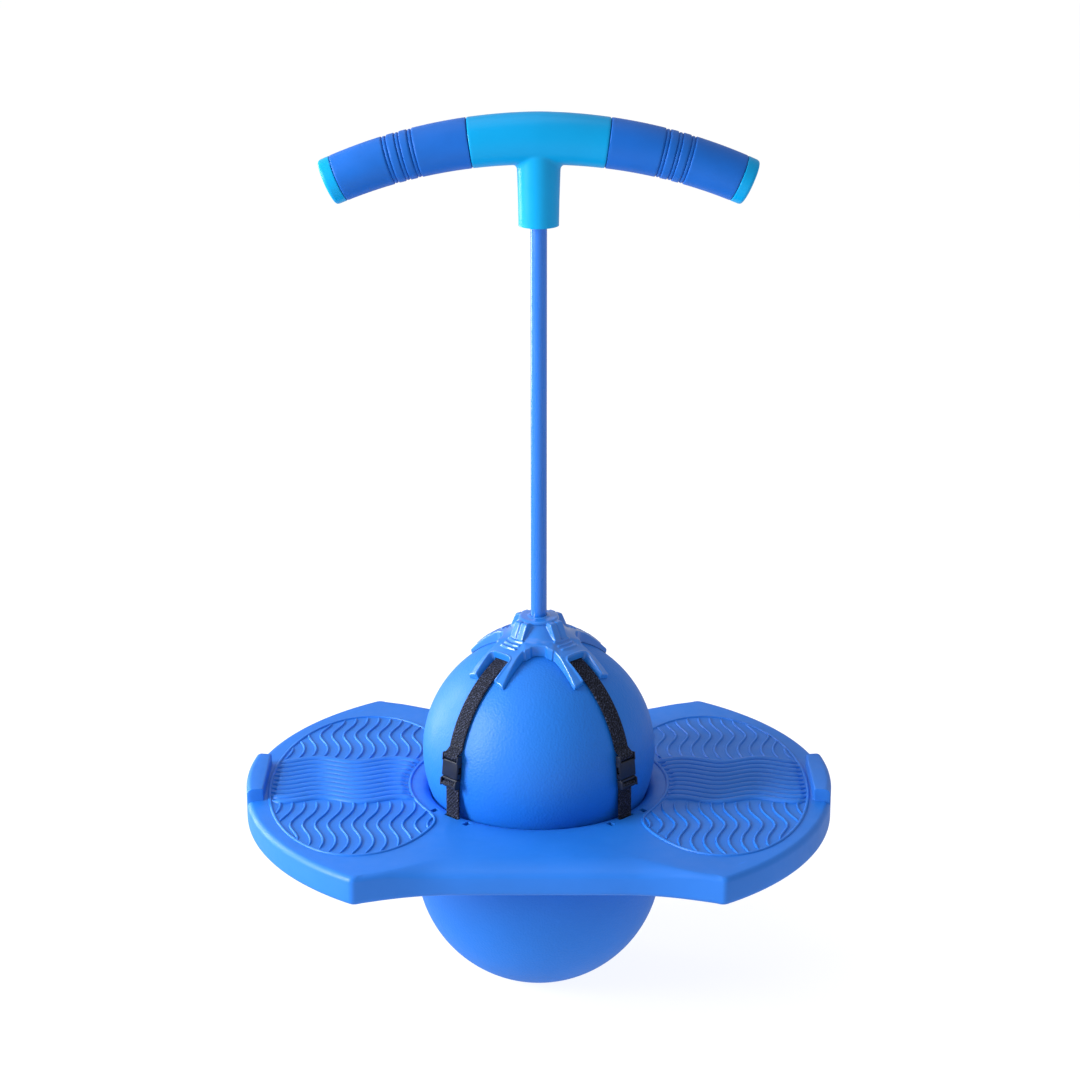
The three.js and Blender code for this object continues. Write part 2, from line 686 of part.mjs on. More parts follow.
function grip(side) {
  const from = BAR_CENTRE_HALF + FIT_GAP;
  const to = BAR_HALF_LENGTH - CAP_LENGTH - FIT_GAP;
  const inner = SPIGOT_RADIUS + FIT_GAP;
  const outside = [];
  outside.push(...[from, 70, 84].map((s) => [barRadius(s), s]));
  for (const k of [-1, 0, 1]) {
    const s = GRIP_GROOVE_MID + k * GRIP_GROOVE_PITCH;
    const half = GRIP_GROOVE_HALF;
    outside.push([barRadius(s), s - half - 0.5], [barRadius(s) - GRIP_GROOVE_DEPTH, s - half + 0.3]);
    outside.push([barRadius(s) - GRIP_GROOVE_DEPTH, s + half - 0.3], [barRadius(s), s + half + 0.5]);
  }
  outside.push(...[135, 149, to].map((s) => [barRadius(s), s]));
  const inside = stations(to, from, 27).map((s) => [inner, s]);
  return alongBar([...outside, ...inside, outside[0]].map(([r, s]) => [r, side * s]), 20);
}

function endCap(side) {
  const start = BAR_HALF_LENGTH - CAP_LENGTH;
  const end = BAR_HALF_LENGTH;
  const plug = BAR_BORE - 2 * FIT_GAP;
  const rim = barRadius(end);
  const profile = [
    [0, start - 14],
    [plug - 1, start - 14],
    [plug, start - 12.5],
    [plug, start],
    [barRadius(start), start],
    [rim, end - 4],
    [rim - 1.2, end - 1.3],
    [rim - 4, end],
    [0, end],
  ];
  return alongBar(profile.map(([r, s]) => [r, side * s]), 20);
}

// ---------------------------------------------------------------- the straps

// The buckle's own frame: s runs up along the buckle, X points away from the ball and Y across the webbing.
function buckleMatrix() {
  return translation(BUCKLE_R, 0, BUCKLE_Z).multiply(new THREE.Matrix4().makeRotationY(-BUCKLE_LEAN));
}

// A point on the buckle's middle plane, as [radius, height].
function onBuckle(s) {
  return [BUCKLE_R - s * Math.sin(BUCKLE_LEAN), BUCKLE_Z + s * Math.cos(BUCKLE_LEAN)];
}

function ring([r, z], middle) {
  const shape = new THREE.Shape();
  shape.absarc(r, z, middle + WEB_THICK / 2, 0, Math.PI * 2, false);
  const hole = new THREE.Path();
  hole.absarc(r, z, middle - WEB_THICK / 2, 0, Math.PI * 2, true);
  shape.holes.push(hole);
  return upright(shape, WEB_WIDTH, 6);
}

// A flat run of webbing between two points in [radius, height].
function run(from, to) {
  const [a, b] = [new THREE.Vector2(...from), new THREE.Vector2(...to)];
  const side = b.clone().sub(a).normalize().rotateAround(new THREE.Vector2(), Math.PI / 2);
  side.multiplyScalar(WEB_THICK / 2);
  const corners = [a.clone().add(side), b.clone().add(side), b.clone().sub(side), a.clone().sub(side)];
  return upright(new THREE.Shape(corners), WEB_WIDTH, 1);
}

function upperStrap(azimuth) {
  const [r, z] = onBuckle(UPPER_BAR_S);
  const tangentPolar = THREE.MathUtils.radToDeg(Math.acos((z - UPPER_Z) / WEB_RADIUS));
  const over = arc([0, UPPER_Z], WEB_RADIUS + WEB_THICK / 2, WEB_TOP_ANGLE, tangentPolar, 9);
  const under = arc([0, UPPER_Z], WEB_RADIUS - WEB_THICK / 2, tangentPolar, WEB_TOP_ANGLE, 9);
  const band = new THREE.Shape([...over, ...under].map(([x, y]) => new THREE.Vector2(x, y)));
  return turnedAbout(upright(band, WEB_WIDTH, 1).add(ring([r, z], LOOP_RADIUS)), azimuth);
}

function lowerStrap(azimuth) {
  const [r, z] = onBuckle(LOWER_BAR_S);
  const anchor = [ANCHOR_R, ANCHOR_Z];
  const band = run([r - LOOP_RADIUS, z], [ANCHOR_R - ANCHOR_LOOP, ANCHOR_Z]);
  return turnedAbout(joined([band, ring([r, z], LOOP_RADIUS), ring(anchor, ANCHOR_LOOP)]), azimuth);
}

// A bar across the buckle for the webbing to loop round, and the two ears that hold it.
function webBar(s, rootS) {
  const bar = moved(rod(BUCKLE_BAR, -BUCKLE_WIDTH / 2 + 0.5, BUCKLE_WIDTH / 2 - 0.5, 10), axleMatrix(0, s));
  const [low, high] = [Math.min(rootS, s - EAR_DEPTH), Math.max(rootS, s + EAR_DEPTH)];
  const ears = [-1, 1].map((side) => {
    const [near, far] = [WEB_WIDTH / 2 + 0.35, BUCKLE_WIDTH / 2];
    const [y0, y1] = side > 0 ? [near, far] : [-far, -near];
    return block([-EAR_DEPTH, y0, low], [EAR_DEPTH, y1, high]);
  });
  return joined([bar, ...ears]);
}

// A rod's +Z laid along +Y, at one distance out and one height.
function axleMatrix(x, z) {
  return translation(x, 0, z).multiply(new THREE.Matrix4().makeRotationX(-Math.PI / 2));
}

function femaleBuckle(azimuth) {
  const [half, thick] = [BUCKLE_WIDTH / 2, BUCKLE_THICK / 2];
  const shell = block([-thick, -half, FEMALE_BOTTOM], [thick, half, FEMALE_TOP]);
  const [depth, inside] = [BUCKLE_ROOM_DEPTH, BUCKLE_ROOM_HALF];
  const room = block([-depth, -inside, FEMALE_BOTTOM - 1], [depth, inside, FEMALE_TOP - 2]);
  const windows = block([-depth, -half - 1, WINDOW_LOW], [depth, half + 1, WINDOW_HIGH]);
  const made = cut(shell, [room, windows]).add(webBar(UPPER_BAR_S, FEMALE_TOP - 1));
  return turnedAbout(moved(made, buckleMatrix()), azimuth);
}

function maleBuckle(azimuth) {
  const base = block([-MALE_DEPTH, -MALE_HALF_WIDTH, MALE_BOTTOM], [MALE_DEPTH, MALE_HALF_WIDTH, MALE_TOP]);
  const guide = block([-GUIDE_HALF, -GUIDE_HALF, MALE_TOP - 1], [GUIDE_HALF, GUIDE_HALF, GUIDE_TOP]);
  const prongs = [-1, 1].map((side) => {
    const across = (near, far) => (side > 0 ? [near, far] : [-far, -near]);
    const [armLow, armHigh] = across(PRONG_NEAR, PRONG_FAR);
    const [barbLow, barbHigh] = across(PRONG_NEAR, BARB_FAR);
    const arm = block([-PRONG_DEPTH, armLow, MALE_TOP - 1], [PRONG_DEPTH, armHigh, PRONG_TOP]);
    return arm.add(block([-PRONG_DEPTH, barbLow, BARB_LOW], [PRONG_DEPTH, barbHigh, BARB_HIGH]));
  });
  const made = joined([base, guide, ...prongs, webBar(LOWER_BAR_S, MALE_TOP - 1)]);
  return turnedAbout(moved(made, buckleMatrix()), azimuth);
}

function strapAnchor(azimuth) {
  const straight = rod(ANCHOR_BAR, -ANCHOR_HALF_LENGTH, ANCHOR_HALF_LENGTH, 12);
  const bar = moved(straight, axleMatrix(ANCHOR_R, ANCHOR_Z));
  const half = PEG_SIDE / 2;
  const pegs = [-PEG_OFFSET, PEG_OFFSET].map((y) =>
    block([PEG_R - half, y - half, ANCHOR_Z - 1.5], [PEG_R + half, y + half, PEG_TOP]),
  );
  return turnedAbout(joined([bar, ...pegs]), azimuth);
}

// ---------------------------------------------------------------- assembly

const jumper = new THREE.Group();
jumper.add(
  part("ball", ball(), BALL_BLUE),
  part("valve_plug", valvePlug(), BALL_BLUE),
  part("deck", deck(), DECK_BLUE),
  part("claw_hub", claw(), CLAW_BLUE),
  part("hub_bolt", hubBolt(), STEEL),
  part("hub_washer", hubWasher(), STEEL),
  part("tube_insert", tubeInsert(), STEEL),
  part("tube", tube(), TUBE_BLUE),
  part("t_handle", tHandle(), HANDLE_CYAN),
  part("stem_screw", stemScrew(), STEEL),
  part("grip_left", grip(-1), GRIP_BLUE),
  part("grip_right", grip(1), GRIP_BLUE),
  part("end_cap_left", endCap(-1), HANDLE_CYAN),
  part("end_cap_right", endCap(1), HANDLE_CYAN),
);
for (const [place, azimuth] of Object.entries(STRAP_AZIMUTHS)) {
  jumper.add(
    part("upper_strap_" + place, upperStrap(azimuth), WEB_BLACK),
    part("buckle_female_" + place, femaleBuckle(azimuth), BUCKLE_GREY),
    part("buckle_male_" + place, maleBuckle(azimuth), BUCKLE_GREY),
    part("lower_strap_" + place, lowerStrap(azimuth), WEB_BLACK),
    part("strap_anchor_" + place, strapAnchor(azimuth), BUCKLE_GREY),
  );
}

export default jumper;
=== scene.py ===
"""Ball jumper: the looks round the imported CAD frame.

Lengths are millimetres until a mesh is made. Angles are degrees unless a name or a call says otherwise.
"""
import math

import bmesh
import bpy
import numpy as np
from mathutils import Matrix, Vector


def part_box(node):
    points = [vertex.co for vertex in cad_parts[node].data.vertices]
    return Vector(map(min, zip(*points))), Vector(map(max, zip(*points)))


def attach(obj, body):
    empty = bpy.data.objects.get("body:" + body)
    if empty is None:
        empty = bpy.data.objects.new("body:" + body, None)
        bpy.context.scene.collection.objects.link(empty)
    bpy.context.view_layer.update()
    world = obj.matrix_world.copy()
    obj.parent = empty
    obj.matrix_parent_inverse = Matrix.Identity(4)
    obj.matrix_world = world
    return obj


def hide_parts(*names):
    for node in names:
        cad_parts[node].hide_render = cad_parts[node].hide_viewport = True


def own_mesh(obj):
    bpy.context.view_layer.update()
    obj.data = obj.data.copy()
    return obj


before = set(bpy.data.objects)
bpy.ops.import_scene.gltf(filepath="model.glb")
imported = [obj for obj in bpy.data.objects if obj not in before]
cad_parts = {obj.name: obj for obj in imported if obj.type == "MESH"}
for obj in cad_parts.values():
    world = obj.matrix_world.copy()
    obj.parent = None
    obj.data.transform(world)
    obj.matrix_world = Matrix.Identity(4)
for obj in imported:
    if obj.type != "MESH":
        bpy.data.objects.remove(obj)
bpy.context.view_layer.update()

MM = 0.001


def mm_box(node):
    """Lowest and highest corner of a CAD node."""
    low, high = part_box(node)
    return np.array(low) / MM, np.array(high) / MM


# ---- driving dimensions

FIT = 0.3  # The gap between two pieces that fit into each other.
TINY = 0.02  # The radius that closes a turned profile at its axis.

# The ball's two lobes. NECK_TURN is how far each lobe's arc stops short of the waist.
ball_high = mm_box("ball")[1]
CONTACT_RADIUS = 28.0
LOWER_RADIUS = ball_high[0]
UPPER_RADIUS = 98.7
LOWER_Z = math.sqrt(LOWER_RADIUS**2 - CONTACT_RADIUS**2)
UPPER_Z = ball_high[2] - UPPER_RADIUS
NECK_TURN = 7.0
NECK_PINCH = 2.2
BALL_SEGMENTS = 160
VALVE_TILT = -23
VALVE_SEAT = -2.4

# The deck.
deck_low, deck_high = mm_box("deck")
STOP_RISE = 10.0
DECK_BOTTOM = deck_low[2]
DECK_TOP = deck_high[2] - STOP_RISE
DECK_EDGE = 5.0
LOBE_X = 16.2
LOBE_RADIUS = deck_high[0] - LOBE_X
CORNER = np.array([148.3, deck_high[1]])
CORNER_ROUND = 7.0
CORNER_PULL = np.array([30, 10.2])
WAIST_X = 62.0
WAIST_Y = 174.0
WAIST_PULL = 36.0
WAIST_ROLL_WIDE, WAIST_ROLL_DEEP = 19.0, 4.5
LIP_RADIUS = 104.2
LIP_NOSE = 13.4
LIP_Z = DECK_TOP - LIP_NOSE
LIP_SQUARE = 0.77
BALL_SPLIT_Z = LIP_Z - 2.0
STOP_INNER_X = 232.0
STOP_HALF = 42.0
STOP_ROUND = 1.6
TIE_MOUTH, TIE_TIP = 8.0, 4.5
TIE_TOP = 171.2
TIE_ROWS = ((150, (-38, 0, 38)), (202, (-33, -11, 11, 33)))

# The left foot land: a ridge round it, a ribbed band across it, and wave ridges before and behind that.
LAND_X = -150.0
LAND_HALF = (79.6, 150.8)
LAND_RING = 111.0
LAND_SMOOTHING = 60
WAVE_PITCH = 10.3
WAVE_LENGTH, WAVE_SWING = 70.0, 4.5
BAND_LOW, BAND_HIGH = -42.0, 50.0
BAND_LENGTH, BAND_SWING = 66.0, 4.7
BAND_RIBS = 10

# The claw.
CLAW_INNER = UPPER_RADIUS + 0.4
CLAW_THICK = 8.1
CLAW_OUTER = CLAW_INNER + CLAW_THICK
CLAW_REACH = 65.0
CLAW_FOOT_Z = 304
TIP_THICK = 4.6
TIP_U = 61.5
LEG_CROWN = 1.4
APEX_SWELL = 1.3
ARCH_X = 47.6
ARCH_RADIUS = 18.0
ARCH_SPREAD = 35.0
ARCH_RIB_RISE = 1.2
ARCH_WALL, FORK_WALL, TIP_WALL = 5.5, 3.6, 4.0
FORK_START = 43.0
FORK_HALF = 9.0
FORK_ROUND = 1.2
BORDER_RISE = 1.0
LEG_BARS = (15.0, 17.5, 20.0)
LEG_BAR_RISE = 1.5
CONE_TOP = 322
CONE_RADIUS, CONE_SLOPE = 16.2, 1.157
BRACE_LINE = ((10.0, 324.7), (20.2, 324.7), (21.2, 324.0), (26.3, 313.6), (26.7, 312.8), (26.9, 309.0))
BRACE_WEB = ((10, 323.9), (20, 323.9), (25.8, 312.4), (26, 309))
CLAW_VOXEL = 0.55
BOSS_TOP = 326.0
RIM_RADIUS = 17.0

# The tube and the T handle.
tube_low, tube_high = mm_box("tube")
TUBE_RADIUS = tube_high[0]
TUBE_WALL = 1.2
stem_low, handle_high = mm_box("t_handle")
STEM_BOTTOM = stem_low[2]
STEM_BOTTOM_RADIUS, STEM_RADIUS, STEM_TOP_RADIUS = 16.25, 16.6, 17.4
STEM_SPREAD = 2.8
SCREW_Z = 672
BAR_MID_RADIUS = 21.0
BAR_END_RADIUS = 19.0
BAR_Z = handle_high[2] - BAR_MID_RADIUS
BAR_BEND = 415.0
BAR_HALF = 173.8
BAR_CENTRE = 55.2
CAP_LENGTH = 10.0
SPIGOT = 15.4
GRIP_RINGS = (99.5, 109.5, 119.5)
GROOVE_DEPTH = 1.1

# The straps and buckles.
PLACES = {"fr": -45, "br": 45, "bl": 135, "fl": 225}
WEB_WIDTH = 15.0
WEB_THICK = 1.6
WEB_RADIUS = UPPER_RADIUS + 1.6
WEB_LOOP = 2.35
BUCKLE_R = 101.7
BUCKLE_Z = 216.2
BUCKLE_LEAN = math.radians(5.9)
BUCKLE_HALF = 9.2
UPPER_BAR = 12.0
LOWER_BAR = -12.6
PLUG_TOP = -6.7
ANCHOR_R = 104.0
ANCHOR_Z = 153.2
PEG_Y = 19.4
SLOT_R, PEG_R, POCKET_R = (99.4, 103.8), (100.2, 106.9), (93.8, 109.4)
POCKET_HALF, POCKET_TOP = 24, 158.8

# Light: watts for the lamps, brightness for the tent and the floor.
KEY_POWER = 95.0
TOP_POWER = 8.0
RIM_POWER = 42.0
TENT_LEFT, TENT_RIGHT = 0.55, 0.5
FLOOR_GLOW = 0.88


# ---- mesh tools


def loft(rings, wrap=False):
    """Points and faces of a skin through closed rings of points, with flat ends unless it wraps round."""
    rings = np.asarray(rings, float)
    count, around = rings.shape[:2]
    faces = []
    for r in range(count if wrap else count - 1):
        a, b = r * around, (r + 1) % count * around
        faces += [(a + c, a + (c + 1) % around, b + (c + 1) % around, b + c) for c in range(around)]
    if not wrap:
        faces.append(tuple(reversed(range(around))))
        faces.append(tuple(range((count - 1) * around, count * around)))
    return rings.reshape(-1, 3), faces


def circle(radius, z, segments):
    """A ring of points round +Z. Its radius and height may change round it."""
    angle = np.linspace(0, 2 * math.pi, segments, endpoint=False)
    return np.column_stack([radius * np.cos(angle), radius * np.sin(angle), np.broadcast_to(z, segments)])


def turned(profile, segments, wrap=False):
    """A profile of (radius, height) pairs turned round +Z."""
    return loft([circle(r, z, segments) for r, z in profile], wrap)


def along_bar(profile, segments, wrap=False):
    """A profile of (radius, distance along the bar) pairs turned round the handle's bent bar."""
    angle = np.linspace(0, 2 * math.pi, segments, endpoint=False)
    rings = []
    for r, s in profile:
        reach = BAR_BEND + r * np.cos(angle)
        turn = s / BAR_BEND
        x, z = reach * math.sin(turn), BAR_Z - BAR_BEND + reach * math.cos(turn)
        rings.append(np.column_stack([x, r * np.sin(angle), z]))
    return loft(rings, wrap)


def bow(start, pull, stop, stations):
    """Points of the curve from start to stop that pull draws aside."""
    t = np.asarray(stations)[:, None]
    return (1 - t) ** 2 * np.array(start) + 2 * t * (1 - t) * np.array(pull) + t**2 * np.array(stop)


def rounded(points, radius, steps=4, closed=False):
    """A profile with each corner between two straight runs turned into a short curve."""
    points = [np.array(p, float) for p in points]
    count = len(points)
    out = [] if closed else [points[0]]
    for i in range(0 if closed else 1, count if closed else count - 1):
        before, here, after = points[i - 1], points[i], points[(i + 1) % count]
        reach = [min(radius, 0.49 * np.linalg.norm(end - here)) for end in (before, after)]
        start = here + (before - here) / np.linalg.norm(before - here) * reach[0]
        stop = here + (after - here) / np.linalg.norm(after - here) * reach[1]
        out += list(bow(start, here, stop, np.linspace(0, 1, steps + 1)))
    if not closed:
        out.append(points[-1])
    return [tuple(p) for p in out]


def arc(centre, radius, start, stop, steps):
    """Points of an arc as (radius, height) pairs, its polar angles in degrees from straight up."""
    angle = np.radians(np.linspace(start, stop, steps + 1))
    return list(zip(centre[0] + radius * np.sin(angle), centre[1] + radius * np.cos(angle)))


def run_length(path):
    """The distance along a path at each of its points."""
    return np.r_[0, np.cumsum(np.linalg.norm(np.diff(path, axis=0), axis=1))]


def resampled(path, length, stations):
    """The points of a path at the given distances along it."""
    return np.column_stack([np.interp(stations, length, path[:, k]) for k in range(path.shape[1])])


def left_of(run):
    """Unit vectors to the left of each step of a flat run."""
    return np.column_stack([-run[:, 1], run[:, 0]]) / np.linalg.norm(run, axis=1)[:, None]


def smooth_path(points, spacing):
    """Evenly spaced points on a Catmull-Rom curve through the given ones."""
    p = np.array(points, float)
    p = np.vstack([2 * p[0] - p[1], p, 2 * p[-1] - p[-2]])
    fine = []
    for i in range(1, len(p) - 2):
        t = np.linspace(0, 1, 24, endpoint=False)[:, None]
        a, b, c, d = p[i - 1], p[i], p[i + 1], p[i + 2]
        bend, twist = 2 * a - 5 * b + 4 * c - d, 3 * b - a - 3 * c + d
        fine.append(0.5 * (2 * b + (c - a) * t + bend * t**2 + twist * t**3))
    fine = np.vstack([*fine, p[-2:-1]])
    length = run_length(fine)
    return resampled(fine, length, np.linspace(0, length[-1], max(2, round(length[-1] / spacing)) + 1))


def moved(made, matrix):
    """The same points and faces after a 4 x 4 matrix."""
    points, faces = made
    turn, shift = np.array(matrix)[:3, :3], np.array(matrix)[:3, 3]
    return points @ turn.T + shift, faces


def joined(parts):
    """Several (points, faces) pairs as one."""
    points, faces, first = [], [], 0
    for p, f in parts:
        points.append(p)
        faces += [tuple(first + i for i in face) for face in f]
        first += len(p)
    return np.vstack(points), faces


def block(low, high, bevel=0.0, segments=2):
    """A box between two corners, with rounded edges."""
    low, high = np.array(low, float), np.array(high, float)
    mesh = bmesh.new()
    bmesh.ops.create_cube(mesh, size=1)
    for v in mesh.verts:
        v.co = Vector((np.array(v.co) + 0.5) * (high - low) + low)
    if bevel:
        edges = mesh.edges[:]
        bmesh.ops.bevel(mesh, geom=edges, offset=bevel, segments=segments, profile=0.5, affect="EDGES")
    mesh.verts.index_update()
    made = np.array([v.co for v in mesh.verts]), [tuple(v.index for v in f.verts) for f in mesh.faces]
    mesh.free()
    return made


def rod(radius, low, high, segments, bevel=0.0):
    """A round rod along +Z, with rounded ends where a bevel is given."""
    profile = [(TINY, low), (radius, low), (radius, high), (TINY, high)]
    return turned(rounded(profile, bevel, 3) if bevel else profile, segments)


def placed(name, data):
    """A new object in the scene."""
    obj = bpy.data.objects.new(name, data)
    bpy.context.scene.collection.objects.link(obj)
    return obj


def mesh_object(name, made):
    """An object from points in millimetres, with its faces turned outwards."""
    points, faces = made
    mesh = bpy.data.meshes.new(name)
    mesh.from_pydata((np.asarray(points) * MM).tolist(), [], faces)
    fine = bmesh.new()
    fine.from_mesh(mesh)
    bmesh.ops.recalc_face_normals(fine, faces=fine.faces)
    fine.to_mesh(mesh)
    fine.free()
    return placed(name, mesh)


def settle(obj):
    """Applies obj's modifiers to its mesh."""
    graph = bpy.context.evaluated_depsgraph_get()
    mesh = bpy.data.meshes.new_from_object(obj.evaluated_get(graph))
    old = obj.data
    obj.modifiers.clear()
    obj.data = mesh
    bpy.data.meshes.remove(old)
    return obj


def boolean(obj, other, operation):
    """Cuts the points and faces of another closed form out of obj, or joins them to it."""
    tool = mesh_object("tool", other)
    change = obj.modifiers.new("change", "BOOLEAN")
    change.operation = operation
    change.solver = "EXACT"
    change.use_self = operation == "UNION"
    change.object = tool
    settle(obj)
    mesh = tool.data
    bpy.data.objects.remove(tool)
    bpy.data.meshes.remove(mesh)
    return obj


def cut(obj, *forms):
    """Cuts closed forms out of obj."""
    for form in forms:
        boolean(obj, form, "DIFFERENCE")


def add(obj, *forms):
    """Joins closed forms to obj."""
    for form in forms:
        boolean(obj, form, "UNION")


def melt(obj, voxel, passes, keep):
    """Fuses overlapping forms into one skin with soft inner corners, and keeps a share of its faces."""
    fuse = obj.modifiers.new("fuse", "REMESH")
    fuse.mode = "VOXEL"
    fuse.voxel_size = voxel * MM
    soften = obj.modifiers.new("soften", "SMOOTH")
    soften.factor, soften.iterations = 0.5, passes
    thin = obj.modifiers.new("thin", "DECIMATE")
    thin.ratio = keep
    settle(obj)


def show(obj, material, body, slot, *nodes, sharp=32):
    """Gives a piece its smooth shading, its material and its place in the frame."""
    obj.data.materials.clear()
    obj.data.materials.append(material)
    obj.data.polygons.foreach_set("material_index", [0] * len(obj.data.polygons))
    obj.data.shade_smooth()
    obj.data.set_sharp_from_angle(angle=math.radians(sharp))
    if body:
        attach(obj, body)
    if nodes:
        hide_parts(*nodes)
    return obj


def turn_about(azimuth):
    """The matrix of a turn about +Z."""
    return Matrix.Rotation(math.radians(azimuth), 4, "Z")


def laid_at(x, z):
    """The matrix that lays +Z down along +Y, at a place in the plane of +X and +Z."""
    return Matrix.Translation((x, 0, z)) @ Matrix.Rotation(-math.pi / 2, 4, "X")


# ---- materials


def linear(red, green, blue):
    """A colour given as 8-bit sRGB, as Blender's linear one."""
    values = [c / 255 for c in (red, green, blue)]
    return tuple(c / 12.92 if c <= 0.04045 else ((c + 0.055) / 1.055) ** 2.4 for c in values) + (1.0,)


class Nodes:
    """The node tree of a material or a world in the making."""

    def __init__(self, owner):
        owner.use_nodes = True
        self.tree = owner.node_tree

    def node(self, kind, **values):
        """A new node. The values are for its sockets or, where it has no such socket, its settings."""
        made = self.tree.nodes.new(kind)
        for key, value in values.items():
            if key in made.inputs:
                made.inputs[key].default_value = value
            else:
                setattr(made, key, value)
        return made

    def link(self, source, target):
        self.tree.links.new(source, target)

    def spread(self, source, low, high, start=0.3, stop=0.7):
        """A value between start and stop stretched to lie between low and high."""
        ends = {"From Min": start, "From Max": stop, "To Min": low, "To Max": high}
        made = self.node("ShaderNodeMapRange", **ends)
        self.link(source, made.inputs["Value"])
        return made.outputs["Result"]

    def chosen(self, factor, first, second):
        """The shader first where factor is 0, and second where it is 1."""
        made = self.node("ShaderNodeMixShader")
        for source, socket in zip((factor, first, second), made.inputs):
            self.link(source, socket)
        return made.outputs["Shader"]


class Finish(Nodes):
    """A node material in the making, round one Principled shader."""

    def __init__(self, name, roughness, **sockets):
        self.material = bpy.data.materials.new(name)
        super().__init__(self.material)
        self.shader = self.tree.nodes["Principled BSDF"]
        self.shader.inputs["Roughness"].default_value = roughness
        for socket, value in sockets.items():
            self.shader.inputs[socket.replace("_", " ")].default_value = value
        self.place = self.node("ShaderNodeTexCoord").outputs["Object"]
        self.bump_normal = None

    def scaled(self, x, y, z, source=None):
        """The object's coordinates times three factors."""
        made = self.node("ShaderNodeMapping")
        made.inputs["Scale"].default_value = (x, y, z)
        self.link(source or self.place, made.inputs["Vector"])
        return made.outputs["Vector"]

    def noise(self, scale, detail=3.0, roughness=0.5, vector=None):
        made = self.node("ShaderNodeTexNoise", Scale=scale, Detail=detail, Roughness=roughness)
        self.link(vector or self.place, made.inputs["Vector"])
        return made.outputs["Fac"]

    def ramp(self, source, stops):
        """A colour ramp through (position, colour) stops."""
        made = self.node("ShaderNodeValToRGB")
        made.color_ramp.elements[0].position, made.color_ramp.elements[0].color = stops[0]
        made.color_ramp.elements[1].position, made.color_ramp.elements[1].color = stops[-1]
        for position, colour in stops[1:-1]:
            made.color_ramp.elements.new(position).color = colour
        self.link(source, made.inputs["Fac"])
        return made.outputs["Color"]

    def clouds(self, colour, scale, detail, low, high, roughness=0.5):
        """A colour that drifts between a darker and a lighter shade of itself."""
        stops = [(0.3, shade(colour, low)), (0.7, shade(colour, high))]
        return self.ramp(self.noise(scale, detail, roughness), stops)

    def mixed(self, factor, first, second):
        """The colour first, turned into the fixed colour second where factor is high."""
        made = self.node("ShaderNodeMix", data_type="RGBA")
        self.link(factor, made.inputs["Factor"])
        self.link(first, made.inputs["A"])
        made.inputs["B"].default_value = second
        return made.outputs["Result"]

    def colour(self, source):
        self.link(source, self.shader.inputs["Base Color"])

    def vary_roughness(self, source, low, high):
        self.link(self.spread(source, low, high), self.shader.inputs["Roughness"])

    def bump(self, height, strength, depth):
        """Adds a bump of a texture value, its depth in millimetres."""
        made = self.node("ShaderNodeBump", Strength=strength, Distance=depth * MM)
        self.link(height, made.inputs["Height"])
        if self.bump_normal:
            self.link(self.bump_normal, made.inputs["Normal"])
        self.bump_normal = made.outputs["Normal"]
        self.link(self.bump_normal, self.shader.inputs["Normal"])


def shade(colour, factor):
    """A colour made lighter or darker."""
    return tuple(min(1.0, c * factor) for c in colour[:3]) + (1.0,)


def moulded_plastic(name, colour, roughness, grain, coat=0.0, gloss=0.35):
    """Moulded plastic: faintly cloudy, with a fine satin grain and a painted highlight that lightens its
    sharp convex edges.
    """
    f = Finish(name, roughness, Coat_Weight=coat, Coat_Roughness=0.14, Specular_IOR_Level=gloss)
    tone = f.clouds(colour, 9.0, 4.0, 0.93, 1.06, 0.55)
    # Painted highlight: sharp convex edges, found by pointiness, are mixed towards a lighter shade of the
    # colour.
    edge = f.node("ShaderNodeNewGeometry").outputs["Pointiness"]
    f.colour(f.mixed(f.spread(edge, 0.0, 0.35, 0.52, 0.62), tone, shade(colour, 1.35)))
    f.vary_roughness(f.noise(70.0, 3.0), roughness - 0.05, roughness + 0.06)
    f.bump(f.noise(1500.0, 2.0), grain, 0.05)
    f.bump(f.noise(45.0, 2.0), 0.25, 0.12)
    return f.material


def ball_vinyl(name, colour):
    """Soft vinyl: a pebbled skin like a playground ball's."""
    f = Finish(name, 0.48, Specular_IOR_Level=0.36)
    f.colour(f.clouds(colour, 7.0, 4.0, 0.94, 1.05, 0.6))
    pebbles = f.node("ShaderNodeTexVoronoi", feature="SMOOTH_F1", Scale=520.0, Smoothness=0.6)
    f.link(f.place, pebbles.inputs["Vector"])
    f.vary_roughness(f.noise(40.0, 3.0), 0.46, 0.56)
    f.bump(f.noise(30.0, 2.0), 0.12, 0.2)
    f.bump(pebbles.outputs["Distance"], 0.5, 0.4)
    return f.material


def tube_paint(name, colour):
    """Powder-coated steel tube: glossy, with a slight orange peel and fine drag marks along it."""
    f = Finish(name, 0.28, Coat_Weight=0.35, Coat_Roughness=0.12, Specular_IOR_Level=0.5)
    f.colour(f.clouds(colour, 16.0, 3.0, 0.96, 1.04))
    f.vary_roughness(f.noise(60.0, 3.0, 0.5, f.scaled(6, 6, 0.4)), 0.22, 0.34)
    f.bump(f.noise(420.0, 2.0), 0.08, 0.04)
    return f.material


def grip_rubber(name, colour):
    """Dense grip foam rubber: matt, faintly grained, with a soft sheen."""
    f = Finish(name, 0.46, Sheen_Weight=0.05, Sheen_Roughness=0.45, Specular_IOR_Level=0.28)
    f.colour(f.clouds(colour, 22.0, 4.0, 0.9, 1.08))
    f.vary_roughness(f.noise(50.0, 3.0), 0.42, 0.56)
    f.bump(f.noise(900.0, 3.0), 0.35, 0.08)
    f.bump(f.noise(60.0, 2.0), 0.2, 0.15)
    return f.material


